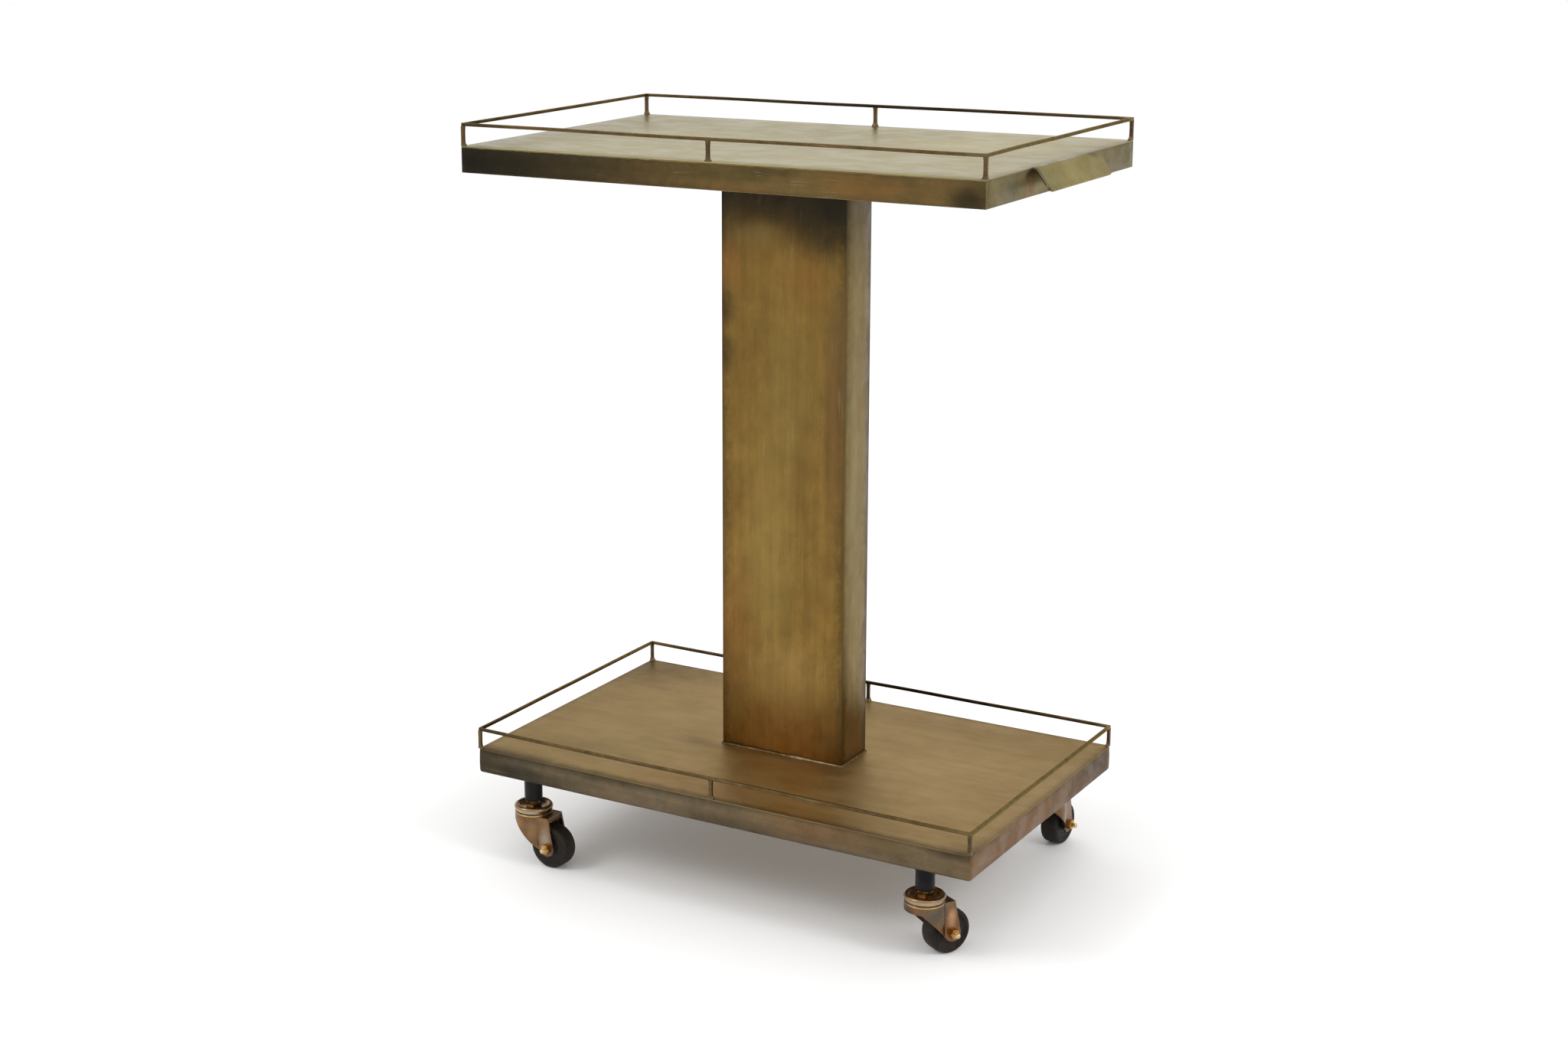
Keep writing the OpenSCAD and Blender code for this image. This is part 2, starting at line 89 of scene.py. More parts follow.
camera_data.clip_end = 200
camera = bpy.data.objects.new("camera", camera_data)
bpy.context.scene.collection.objects.link(camera)
camera.matrix_world = Matrix((right, up, back)).transposed().to_4x4()
camera.location = cart_middle + Vector(CAMERA_PLACE)
bpy.context.scene.camera = camera
print("camera stands", round((camera.location - cart_middle).length, 2), "m from the lower shelf")

# %% [markdown]
# ## The studio
# Metal shows its surroundings, so the studio is half of the finish. An even, nearly white room gives
# the soft, flat sheen of old metal. Two large soft lamps add a gentle direction and the small
# bright glints on the casters.

# %% Floor, room and lamps
FLOOR_RADIUS = 60.0
FLOOR_WHITE = 0.96
ROOM_LIGHT = 1.04
AIM = (0, 0, 0.45)


def plain_material(name, colour, roughness):
    material = bpy.data.materials.new(name)
    material.use_nodes = True
    shader = material.node_tree.nodes["Principled BSDF"]
    shader.inputs["Base Color"].default_value = (*colour, 1)
    shader.inputs["Roughness"].default_value = roughness
    return material


def soft_lamp(name, place, target, size, power):
    lamp = bpy.data.lights.new(name, "AREA")
    lamp.shape = "DISK"
    lamp.size = size
    lamp.energy = power
    holder = bpy.data.objects.new(name, lamp)
    bpy.context.scene.collection.objects.link(holder)
    holder.location = place
    holder.rotation_euler = (Vector(target) - Vector(place)).to_track_quat("-Z", "Y").to_euler()


floor_shape = bmesh.new()
bmesh.ops.create_circle(floor_shape, cap_ends=True, segments=96, radius=FLOOR_RADIUS)
floor_mesh = bpy.data.meshes.new("floor")
floor_shape.to_mesh(floor_mesh)
floor_shape.free()
floor = bpy.data.objects.new("floor", floor_mesh)
bpy.context.scene.collection.objects.link(floor)
floor_mesh.materials.append(plain_material("pale_floor", (FLOOR_WHITE,) * 3, 0.9))

world = bpy.data.worlds.new("white_room")
bpy.context.scene.world = world
world.use_nodes = True
room = world.node_tree.nodes["Background"]
room.inputs["Color"].default_value = (1.0, 1.0, 1.0, 1)
room.inputs["Strength"].default_value = ROOM_LIGHT
soft_lamp("lamp_left", (-1.8, -2.2, 2.6), AIM, 1.4, 26)
soft_lamp("lamp_right", (2.6, -0.4, 2.2), AIM, 1.2, 24)
bpy.context.scene.view_settings.view_transform = "Standard"
print("studio ready")

# %% [markdown]
# ## Small helpers for nodes
# Every finish below is a network of nodes. Typing each link out is long, so this little helper adds a
# node, sets its values and returns its output in one call. It only shortens the writing.

# %% Node helper


class Wires:
    """Adds nodes to one node tree and joins them."""

    def __init__(self, tree):
        self.tree = tree

    def put(self, socket, value):
        if isinstance(value, bpy.types.NodeSocket):
            self.tree.links.new(value, socket)
        elif value is not None:
            socket.default_value = value

    def add(self, kind, inputs=None, **settings):
        node = self.tree.nodes.new(kind)
        for name, value in settings.items():
            setattr(node, name, value)
        for name, value in (inputs or {}).items():
            self.put(node.inputs[name], value)
        return node

    def math(self, operation, a, b=None):
        return self.add("ShaderNodeMath", {0: a, 1: b}, operation=operation).outputs[0]

    def times(self, a, b):
        return self.math("MULTIPLY", a, b)

    def plus(self, a, b):
        return self.math("ADD", a, b)

    def vector(self, operation, a, b=None):
        node = self.add("ShaderNodeVectorMath", {0: a, 1: b}, operation=operation)
        return node.outputs["Value" if operation == "LENGTH" else "Vector"]

    def noise(self, vector, scale, detail=4.0, roughness=0.55, distortion=0.0):
        values = {"Vector": vector, "Scale": scale, "Detail": detail, "Roughness": roughness,
                  "Distortion": distortion}
        return self.add("ShaderNodeTexNoise", values).outputs["Fac"]

    def span(self, value, low, high, to_low=0.0, to_high=1.0, smooth=True):
        node = self.add(
            "ShaderNodeMapRange",
            {"Value": value, "From Min": low, "From Max": high, "To Min": to_low, "To Max": to_high},
            interpolation_type="SMOOTHSTEP" if smooth else "LINEAR",
            clamp=True,
        )
        return node.outputs["Result"]

    def mix(self, factor, a, b):
        """From colour a to colour b. A colour is an output or three numbers."""
        node = self.add("ShaderNodeMix", data_type="RGBA")
        self.put(node.inputs[0], factor)
        for socket, colour in ((node.inputs[6], a), (node.inputs[7], b)):
            self.put(socket, (*colour, 1) if isinstance(colour, tuple) else colour)
        return node.outputs[2]


def new_group(name, inputs, outputs):
    """A shader node group with named sockets. Returns the group, its Wires and its two end nodes."""
    group = bpy.data.node_groups.new(name, "ShaderNodeTree")
    for socket, kind, value in inputs:
        made = group.interface.new_socket(name=socket, in_out="INPUT", socket_type="NodeSocket" + kind)
        made.default_value = value
    for socket in outputs:
        group.interface.new_socket(name=socket, in_out="OUTPUT", socket_type="NodeSocketFloat")
    wires = Wires(group)
    return group, wires, wires.add("NodeGroupInput"), wires.add("NodeGroupOutput")


print("node helper ready")

# %% [markdown]
# ## Patina clouds
# Acid patina grows in soft clouds a hand wide, with blotches the size of a coin inside them. Over
# these lie faint streaks from the steel wool, a fine grain, thin scrapes and pinhole pits. One node
# group gives all six as masks, in the object's own coordinates, so the pattern stays on the metal
# when a part moves. An image texture would need a flattened map of each part, and would blur close up.

# %% Group: patina clouds
STREAK_SCALE = 90.0
GRAIN_SCALE = 1100.0
SCRAPE_SCALE = 130.0
PIT_SCALE = 230.0
clouds_group, wires, ends_in, ends_out = new_group(
    "patina_clouds",
    [("Scale", "Float", 9.0), ("Stretch", "Vector", (1, 1, 1)), ("Grain", "Vector", (1, 1, 1)),
     ("Shift", "Float", 0.0)],
    ["Clouds", "Blotches", "Streaks", "Fine", "Scrapes", "Pits"],
)
place = wires.add("ShaderNodeTexCoord").outputs["Object"]
place = wires.vector("ADD", place, ends_in.outputs["Shift"])
stretched = wires.vector("MULTIPLY", place, ends_in.outputs["Stretch"])
brushed = wires.vector("MULTIPLY", place, ends_in.outputs["Grain"])
scale = ends_in.outputs["Scale"]
clouds = wires.noise(stretched, scale, 5.0, 0.58, 0.4)
blotches = wires.noise(stretched, wires.times(scale, 5.0), 4.0, 0.6, 0.3)
streaks = wires.noise(brushed, STREAK_SCALE, 5.0, 0.65)
fine = wires.noise(place, GRAIN_SCALE, 3.0, 0.7)
scrape_place = wires.vector("ADD", wires.vector("MULTIPLY", brushed, (3, 3, 3)), (15, 15, 15))
scrape_lines = wires.noise(scrape_place, SCRAPE_SCALE, 2.0, 0.5, 0.8)
scrape_where = wires.noise(place, 14.0, 3.0, 0.6)
pit_cells = wires.add("ShaderNodeTexVoronoi", {"Vector": place, "Scale": PIT_SCALE}).outputs["Distance"]
pit_where = wires.noise(place, 40.0, 2.0, 0.5)
scrapes = wires.times(wires.span(scrape_lines, 0.60, 0.72), wires.span(scrape_where, 0.52, 0.64))
pits = wires.times(wires.span(pit_cells, 0.0, 0.10, 1.0, 0.0), wires.span(pit_where, 0.60, 0.70))
for name, mask in (
    ("Clouds", wires.span(clouds, 0.32, 0.68)),
    ("Blotches", wires.span(blotches, 0.30, 0.70)),
    ("Streaks", wires.span(streaks, 0.28, 0.72, smooth=False)),
    ("Fine", wires.span(fine, 0.25, 0.75, smooth=False)),
    ("Scrapes", scrapes),
    ("Pits", pits),
):
    wires.put(ends_out.inputs[name], mask)
print("group", clouds_group.name, "with", len(clouds_group.nodes), "nodes")

# %% [markdown]
# ## Worn edges, smudges and painted shade
# Hands and cloths rub the patina off along edges, and flux and fumes leave dark smudges where the
# torch has been. The edge mask measures how near a point is to the sides of the part's box, which
# needs no extra geometry, and also lays the shaded border. The mark is a soft ellipsoid with a
# frayed outline; it lays smudges, and also painted shade and painted reflections.

# %% Groups: worn and shaded edge, and soft mark
edge_group, wires, ends_in, ends_out = new_group(
    "worn_and_shaded_edge",
    [("Low", "Vector", (0, 0, 0)), ("High", "Vector", (1, 1, 1)), ("Reach", "Float", 0.002)],
    ["Edge"],
)
place = wires.add("ShaderNodeTexCoord").outputs["Object"]
from_low = wires.add("ShaderNodeSeparateXYZ", {0: wires.vector("SUBTRACT", place, ends_in.outputs["Low"])})
from_high = wires.add("ShaderNodeSeparateXYZ", {0: wires.vector("SUBTRACT", ends_in.outputs["High"], place)})
nearest = None
for letter in "XYZ":
    gap = wires.math("MINIMUM", from_low.outputs[letter], from_high.outputs[letter])
    nearest = gap if nearest is None else wires.math("MINIMUM", nearest, gap)
ragged = wires.span(wires.noise(place, 90.0, 4.0, 0.65), 0.25, 0.75, 0.2, 1.8, False)
reach = wires.times(ends_in.outputs["Reach"], ragged)
wires.put(ends_out.inputs["Edge"], wires.span(wires.math("DIVIDE", nearest, reach), 0.0, 1.0, 1.0, 0.0))

soft_mark_group, wires, ends_in, ends_out = new_group(
    "soft_mark",
    [("Centre", "Vector", (0, 0, 0)), ("Size", "Vector", (0.1, 0.1, 0.1)), ("Fray", "Float", 0.5)],
    ["Mask"],
)
place = wires.add("ShaderNodeTexCoord").outputs["Object"]
offset = wires.vector("SUBTRACT", place, ends_in.outputs["Centre"])
distance = wires.vector("LENGTH", wires.vector("DIVIDE", offset, ends_in.outputs["Size"]))
frayed = wires.math("SUBTRACT", wires.noise(place, 22.0, 5.0, 0.62, 0.5), 0.5)
distance = wires.plus(distance, wires.times(frayed, ends_in.outputs["Fray"]))
wires.put(ends_out.inputs["Mask"], wires.span(distance, 0.1, 1.0, 1.0, 0.0))
print("groups", edge_group.name, soft_mark_group.name)

# %% [markdown]
# ## Aged brass
# The metal itself: a dark gold base that goes olive in the clouds and copper where the zinc has been
# eaten away. Seen at a low angle any metal turns paler, which is part of why the shelf tops look khaki
# and the column brown, though all are one finish. So one recipe serves the whole cart. Each part gives
# its own light and dark tone, and these tones also paint in light: the shelf tops get much paler tones
# than the upright strips, and narrow sides get tones apart from broad ones. Each part adds its own
# smudges, and a broad shaded border comes from the box.

# %% Material: aged brass
FAR = 10.0
GOLD = (0.225, 0.142, 0.042)
BROWN = (0.130, 0.083, 0.027)
OLIVE = (0.160, 0.130, 0.050)
COPPER = (0.215, 0.098, 0.028)
# A near black for soot, pits and smudges, and also the painted shade: the shadow of the top shelf on the
# column and the shaded border.
SOOT_AND_SHADE = (0.017, 0.0155, 0.011)
WORN = (0.42, 0.34, 0.19)
ALONG_X = (0.05, 1, 1)
ALONG_Y = (1, 0.05, 1)
ALONG_Z = (1, 1, 0.05)
WEAR_REACH = 1.2 * MM
PATINA_DEPTH = 0.06 * MM


def use_group(wires, group, values):
    node = wires.add("ShaderNodeGroup", node_tree=group)
    for name, value in values.items():
        wires.put(node.inputs[name], value)
    return node


def wide_box(low, high, thin):
    """The part's box, opened along its thin side so that only the long edges count as near."""
    low, high = Vector(low), Vector(high)
    for axis in thin:
        low[axis] -= FAR
        high[axis] += FAR
    return tuple(low), tuple(high)


def new_finish(name, metallic=1.0):
    """A new material, the Wires for its nodes, and its shader."""
    material = bpy.data.materials.new(name)
    material.use_nodes = True
    shader = material.node_tree.nodes["Principled BSDF"]
    shader.inputs["Metallic"].default_value = metallic
    return material, Wires(material.node_tree), shader


def add_soft_marks(wires, colour, smudges, fray=0.5):
    """Lays soft marks over a colour: smudges, and also painted shade and painted reflections. Each is
    (centre, size, colour, strength).
    """
    for centre, size, tint, strength in smudges:
        spot = use_group(wires, soft_mark_group, {"Centre": centre, "Size": size, "Fray": fray})
        colour = wires.mix(wires.times(spot.outputs["Mask"], strength), colour, tint)
    return colour


def lay_surface(wires, shader, colour, specks, contrast, blotches, roughness, bump):
    """Joins the speckled colour, the roughness and the bump (strength, distance, height) to the shader."""
    speckle = wires.plus(wires.times(specks[0], 0.5), wires.times(specks[1], 0.5))
    gain = wires.span(speckle, 0.0, 1.0, 1.0 - contrast, 1.0 + contrast, smooth=False)
    speckled = wires.add("ShaderNodeVectorMath", {0: colour, "Scale": gain}, operation="SCALE")
    wires.put(shader.inputs["Base Color"], speckled.outputs[0])
    wires.put(shader.inputs["Roughness"], wires.span(blotches, 0, 1, roughness[1], roughness[0]))
    node = wires.add("ShaderNodeBump", dict(zip(("Strength", "Distance", "Height"), bump)))
    wires.put(shader.inputs["Normal"], node.outputs["Normal"])


def aged_brass(name, box, thin, smudges=(), shift=0.0, stretch=(1, 1, 1), grain=ALONG_X, copper=0.3,
               wear=0.3, border=0.35, border_reach=0.014, roughness=(0.28, 0.44), light=GOLD, dark=BROWN,
               scale=9.0, scrapes=0.15, contrast=0.26, bump=0.3, edge_tint=(1, 1, 1)):
    """One part's patina, with tones and marks that also paint in light and shade."""
    material, wires, shader = new_finish(name)
    shader.inputs["Specular Tint"].default_value = (*edge_tint, 1)
    common = {"Stretch": stretch, "Grain": grain}
    masks = use_group(wires, clouds_group, {"Scale": scale, "Shift": shift, **common}).outputs
    second = use_group(wires, clouds_group, {"Scale": scale * 0.8, "Shift": shift + 3.7, **common}).outputs
    shade = wires.plus(wires.times(masks["Clouds"], 0.48), wires.times(masks["Blotches"], 0.40))
    shade = wires.plus(shade, wires.times(masks["Streaks"], 0.12))
    colour = wires.mix(shade, dark, light)
    colour = wires.mix(wires.times(second["Clouds"], copper), colour, COPPER)
    low, high = wide_box(*box, thin)
    if border:
        rim = use_group(wires, edge_group, {"Low": low, "High": high, "Reach": border_reach})
        colour = wires.mix(wires.times(rim.outputs["Edge"], border), colour, SOOT_AND_SHADE)
    colour = add_soft_marks(wires, colour, smudges)
    colour = wires.mix(wires.times(masks["Scrapes"], scrapes), colour, WORN)
    if wear:
        edge = use_group(wires, edge_group, {"Low": low, "High": high, "Reach": WEAR_REACH})
        colour = wires.mix(wires.times(edge.outputs["Edge"], wear), colour, WORN)
    colour = wires.mix(wires.times(masks["Pits"], 0.6), colour, SOOT_AND_SHADE)
    height = wires.plus(wires.times(second["Streaks"], 0.25), wires.times(masks["Fine"], 0.25))
    height = wires.math("SUBTRACT", height, wires.times(masks["Pits"], 0.5))
    lay_surface(wires, shader, colour, (masks["Fine"], second["Streaks"]), contrast, second["Blotches"],
                roughness, (bump, PATINA_DEPTH, height))
    return material


print("aged brass recipe ready")

# %% [markdown]
# ## Mesh helpers
# A sheet of metal in a render needs two things that a plain box hasn't got: small round edges that
# catch the light, and a surface that isn't perfectly flat, so that reflections wander. The first helper
# cuts a rounded box into strips and presses a slow noise into its thin side.

# %% Sheet metal helper
EDGE_FADE = 12 * MM


def add_piece(name, shape, material, body, nodes, smooth=40.0):
    """Turns a bmesh into an object that rides on a body and stands for CAD nodes."""
    mesh = bpy.data.meshes.new(name)
    bmesh.ops.recalc_face_normals(shape, faces=shape.faces)
    shape.to_mesh(mesh)
    shape.free()
    mesh.polygons.foreach_set("use_smooth", [True] * len(mesh.polygons))
    mesh.set_sharp_from_angle(angle=math.radians(smooth))
    piece = bpy.data.objects.new(name, mesh)
    bpy.context.scene.collection.objects.link(piece)
    mesh.materials.append(material)
    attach(piece, body)
    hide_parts(*nodes)
    return piece


def bridge(shape, rings, closed=False):
    """Joins each ring of points to the next one with faces."""
    for a, b in zip(rings, rings[1:] + (rings[:1] if closed else [])):
        for i in range(len(a)):
            j = (i + 1) % len(a)
            shape.faces.new((a[i], a[j], b[j], b[i]))


def rounded_box(low, high, radius):
    shape = bmesh.new()
    size = Vector(high) - Vector(low)
    middle = (Vector(high) + Vector(low)) / 2
    bmesh.ops.create_cube(shape, size=1, matrix=Matrix.Translation(middle) @ Matrix.Diagonal((*size, 1)))
    bmesh.ops.bevel(shape, geom=shape.edges[:], offset=radius, segments=2, profile=0.5, affect="EDGES")
    return shape


def cut_in_strips(shape, low, high, step):
    for axis in range(3):
        length = high[axis] - low[axis]
        count = int(length / step)
        normal = Vector((0, 0, 0))
        normal[axis] = 1
        for i in range(1, count):
            point = Vector(low)
            point[axis] += length * i / count
            everything = shape.verts[:] + shape.edges[:] + shape.faces[:]
            bmesh.ops.bisect_plane(shape, geom=everything, dist=1e-6, plane_co=point, plane_no=normal)


def press_waves(shape, low, high, thin, depth, length, seed):
    """Moves points along the thin side by a slow noise that dies out at the part's edges."""
    long_sides = [axis for axis in range(3) if axis != thin]
    for v in shape.verts:
        inside = min(min(v.co[a] - low[a], high[a] - v.co[a]) for a in long_sides)
        fade = min(1.0, max(0.0, inside / EDGE_FADE))
        slow = noise.noise(v.co / length + Vector((seed, seed * 1.7, 0)))
        v.co[thin] += depth * fade * slow


def sheet_metal(low, high, seed, radius=0.45 * MM, step=14 * MM, depth=0.35 * MM, length=0.09):
    low, high = Vector(low), Vector(high)
    size = high - low
    thin = min(range(3), key=lambda axis: size[axis])
    shape = rounded_box(low, high, min(radius, size[thin] * 0.45))
    cut_in_strips(shape, low, high, step)
    press_waves(shape, low, high, thin, depth, length, seed)
    return shape


print("sheet helper ready")

# %% [markdown]
# ## The top shelf
# A flat sheet laid over four upright strips. The sheet's cut edge shows as a thin bright line above
# the strips, so the strips stay separate pieces and stop just under it. The front strip is burnt
# nearly black at its left end and lies in copper clouds elsewhere.

# %% Top shelf
top_low, top_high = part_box("top_sheet")
length, depth = top_high.x - top_low.x, top_high.y - top_low.y


def along(box, x=0.5, y=0.5, z=0.5):
    """A point in a box, from shares of its sides."""
    low, high = box
    return tuple(low[i] + (high[i] - low[i]) * share for i, share in enumerate((x, y, z)))


top_box = (top_low, top_high)
top_smudges = [
    (along(top_box, 0.5, 0.0), (0.60, 0.020, FAR), SOOT_AND_SHADE, 0.22),
    (along(top_box, 0.5, 1.0), (0.60, 0.020, FAR), SOOT_AND_SHADE, 0.18),
    (along(top_box, 1.0, 0.5), (0.025, 0.30, FAR), SOOT_AND_SHADE, 0.15),
    (along(top_box, 0.0, 0.1), (0.06, 0.10, FAR), SOOT_AND_SHADE, 0.30),
    (along(top_box, 0.0, 0.5), (0.16, 0.40, FAR), SOOT_AND_SHADE, 0.16),
    (along(top_box, 0.30, 0.75), (0.16, 0.10, FAR), (0.30, 0.255, 0.090), 0.6),
    (along(top_box, 0.80, 0.70), (0.14, 0.12, FAR), (0.46, 0.37, 0.125), 0.5),
]
plate = sheet_metal(top_low, top_high, seed=1.3, depth=0.35 * MM, length=0.16)
# The top plate's pale khaki tones are partly its patina and partly painted light, for the bright room an
# upward face reflects.
top_finish = aged_brass("top_plate_brass", top_box, (2,), top_smudges, 0.0, (0.7, 1, 1), copper=0.06,
                        wear=0.2, border=0.15, light=(0.350, 0.288, 0.094), dark=(0.275, 0.226, 0.075),
                        contrast=0.10, bump=0.12, scrapes=0.06, roughness=(0.30, 0.38))
add_piece("top_plate", plate, top_finish, "cart", ["top_sheet"])

BAND_GAP = 0.12 * MM
BROAD = ("front", "back")


def side_brass(name, side, box, smudges, shift, broad_tones, narrow_tones, thin=None, grain=None, **more):
    """Brass for one upright side. Each mark here, for smudges and painted shade alike, is its place along and
    up the side as shares, its reach along and up, its colour and its strength. The tones are a light one and
    a dark one; broad and narrow sides get tones of their own, partly the patina's colour and partly painted
    light."""
    broad = side in BROAD
    placed = []
    for share, height, reach, tall, tint, strength in smudges:
        where = (share, 0.5, height) if broad else (0.5, share, height)
        size = (reach, FAR, tall) if broad else (FAR, reach, tall)
        placed.append((along(box, *where), size, tint, strength))
    light, dark = broad_tones if broad else narrow_tones
    return aged_brass(name + side, box, thin or ((1,) if broad else (0,)), placed, shift,
                      grain=grain or (ALONG_X if broad else ALONG_Y), light=light, dark=dark, **more)


TOP_SMUDGES = {
    "front": [
        (0.0, 0.5, 0.17, FAR, SOOT_AND_SHADE, 0.97),
        (0.12, 0.5, 0.26, FAR, SOOT_AND_SHADE, 0.64),
        (0.30, 0.5, 0.20, FAR, SOOT_AND_SHADE, 0.22),
        (0.970, 0.25, 0.034, 0.022, SOOT_AND_SHADE, 0.78),
        (0.55, 0.1, 0.09, 0.012, COPPER, 0.22),
        (0.80, 0.5, 0.10, 0.02, COPPER, 0.35),
        (0.62, 0.9, 0.05, 0.010, SOOT_AND_SHADE, 0.40),
    ],
    "right": [
        (0.27, 0.35, 0.020, 0.030, COPPER, 0.50),
        (0.30, 0.95, 0.035, 0.010, SOOT_AND_SHADE, 0.32),
        (0.16, 0.5, 0.030, 0.018, SOOT_AND_SHADE, 0.45),
        (0.95, 0.5, 0.060, 0.030, SOOT_AND_SHADE, 0.22),
    ],
    "back": [(0.9, 0.5, 0.12, FAR, SOOT_AND_SHADE, 0.6), (0.3, 0.3, 0.16, 0.02, COPPER, 0.5)],
    "left": [(0.0, 0.5, 0.10, FAR, SOOT_AND_SHADE, 0.85), (0.7, 0.4, 0.09, 0.02, COPPER, 0.4)],
}
for number, (side, spots) in enumerate(TOP_SMUDGES.items()):
    node = "top_skirt_" + side
    low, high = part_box(node)
    band = sheet_metal(low, high - Vector((0, 0, BAND_GAP)), seed=3.1 + number, step=10 * MM, length=0.06)
    finish = side_brass("top_band_brass_", side, (low, high), spots, number * 1.9,
                        ((0.134, 0.091, 0.034), (0.082, 0.062, 0.025)),
                        ((0.180, 0.143, 0.036), (0.120, 0.095, 0.024)),
                        copper=0.16, scale=14.0, border=0.3, border_reach=0.006, wear=0.22)
    add_piece("top_band_" + side, band, finish, "cart", [node])
print("top shelf", round(length * 1000), "by", round(depth * 1000), "mm")

# %% [markdown]
# ## The handle lip
# A strip bent over the shelf's end and curled out at the bottom, so that fingers fit behind it. We
# walk along its side view, as a maker would bend it, and set points across its width. Near the
# bottom the width shrinks by a quarter circle, which gives the two round corners.

# %% Handle
handle_low, handle_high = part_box("handle_lip")
HANDLE_THICK = 1.8 * MM
HANDLE_FLAT = 1.5 * MM
HANDLE_BEND = 6.0 * MM
HANDLE_CURL = 8.0 * MM
HANDLE_SLOPE = math.radians(55)
HANDLE_CURL_ANGLE = math.radians(20)
HANDLE_RUN = 22.0 * MM
HANDLE_CORNER = 7.0 * MM
HANDLE_COLUMNS = 40
HANDLE_RIPPLE = 0.35 * MM


def bent_strip_line():
    """Points of the strip's upper face, each with its slope and its distance along the strip."""
    line = [(0.0, 0.0, 0.0, 0.0)]
    stretches = (
        (HANDLE_FLAT, 0.0, 0.0, 2),
        (HANDLE_BEND * HANDLE_SLOPE, 0.0, HANDLE_SLOPE, 10),
        (HANDLE_RUN, HANDLE_SLOPE, HANDLE_SLOPE, 12),
        (HANDLE_CURL * HANDLE_CURL_ANGLE, HANDLE_SLOPE, HANDLE_SLOPE - HANDLE_CURL_ANGLE, 8),
    )
    for distance, slope_a, slope_b, steps in stretches:
        for i in range(1, steps + 1):
            x, z, _, travelled = line[-1]
            slope = slope_a + (slope_b - slope_a) * (i - 0.5) / steps
            piece = distance / steps
            line.append((x + piece * math.cos(slope), z - piece * math.sin(slope), slope, travelled + piece))
    return line


def handle_shape():
    shape = bmesh.new()
    line = bent_strip_line()
    total = line[-1][3]
    width = handle_high.y - handle_low.y
    middle = (handle_high.y + handle_low.y) / 2
    across = HANDLE_COLUMNS
    faces = []
    for layer in (0.0, HANDLE_THICK):
        rows = []
        for x, z, slope, travelled in line:
            into = max(0.0, travelled - (total - HANDLE_CORNER))
            trim = HANDLE_CORNER - math.sqrt(max(0.0, HANDLE_CORNER ** 2 - into ** 2))
            half = width / 2 - trim
            row = []
            for j in range(across + 1):
                y = middle + half * (2 * j / across - 1)
                ripple = HANDLE_RIPPLE * noise.noise(Vector((y / 0.05, travelled / 0.03, 5.1)))
                ripple *= min(1.0, travelled / 0.01)
                out = ripple - layer
                row.append(shape.verts.new((
                    handle_low.x + x + out * math.sin(slope),
                    y,
                    handle_high.z + z + out * math.cos(slope),
                )))
            rows.append(row)
        faces.append(rows)
    for rows in faces:
        for a, b in zip(rows, rows[1:]):
            for j in range(across):
                shape.faces.new((a[j], a[j + 1], b[j + 1], b[j]))
    top, under = faces
    for i in range(len(line) - 1):
        for j in (0, across):
            shape.faces.new((top[i][j], top[i + 1][j], under[i + 1][j], under[i][j]))
    for i in (0, len(line) - 1):
        for j in range(across):
            shape.faces.new((top[i][j], top[i][j + 1], under[i][j + 1], under[i][j]))
    return shape


handle_box = (handle_low, handle_high)
handle_smudges = [
    (along(handle_box, 0.5, 0.0, 0.5), (0.05, 0.006, 0.05), SOOT_AND_SHADE, 0.75),
    (along(handle_box, 0.1, 0.88, 0.95), (0.02, 0.018, 0.006), SOOT_AND_SHADE, 0.55),
    (along(handle_box, 0.6, 0.45, 0.4), (0.03, 0.06, 0.03), (0.255, 0.205, 0.045), 0.6),
]
handle_finish = aged_brass("handle_strip_brass", handle_box, (0, 2), handle_smudges, 7.7, grain=ALONG_Y,
                           copper=0.05, light=(0.238, 0.188, 0.034), dark=(0.160, 0.126, 0.024), wear=0.3,
                           border=0.3, border_reach=0.006, contrast=0.16)
handle = add_piece("handle_strip", handle_shape(), handle_finish, "cart", ["handle_lip"], 50)
soft_edge = handle.modifiers.new("soft_edge", "BEVEL")
soft_edge.width = 0.35 * MM
soft_edge.segments = 2
soft_edge.limit_method = "ANGLE"
soft_edge.angle_limit = math.radians(50)
print("handle", round((handle_high.y - handle_low.y) * 1000), "mm wide")

# %% [markdown]
# ## The lower shelf
# This shelf has been knocked about more than the top one: its corners are round and its edges soft.
# Each edge strip therefore runs round half of each corner, as a length of a rounded rectangle with a
# bottom edge that rolls in. Bevelling a box could round the corners too, but not let the strips meet
# in the middle of the bend.

# %% Lower shelf bands
CORNER = 4.0 * MM
ROLL = 3.0 * MM
SHEET = 1.5 * MM
BULGE = 0.5 * MM
BAND_WAVE = 0.30 * MM


def rounded_outline(low, high, radius, straight_steps, arc_steps):
    """Points and outward directions round a rounded rectangle, one list per side, meeting mid-corner."""
    sides = []
    centres = [
        (high.x - radius, high.y - radius),
        (low.x + radius, high.y - radius),
        (low.x + radius, low.y + radius),
        (high.x - radius, low.y + radius),
    ]
    for k, name in enumerate(("back", "left", "front", "right")):
        start, end = centres[k], centres[(k + 1) % 4]
        turn = math.pi / 2 * (k + 1)
        points = []
        for i in range(arc_steps + 1):
            angle = turn - math.pi / 4 + math.pi / 4 * i / arc_steps
            points.append((start, angle))
        for i in range(1, straight_steps):
            share = i / straight_steps
            middle = tuple(a + (b - a) * share for a, b in zip(start, end))
            points.append((middle, turn))
        for i in range(arc_steps + 1):
            angle = turn + math.pi / 4 * i / arc_steps
            points.append((end, angle))
        sides.append((name, points))
    return sides


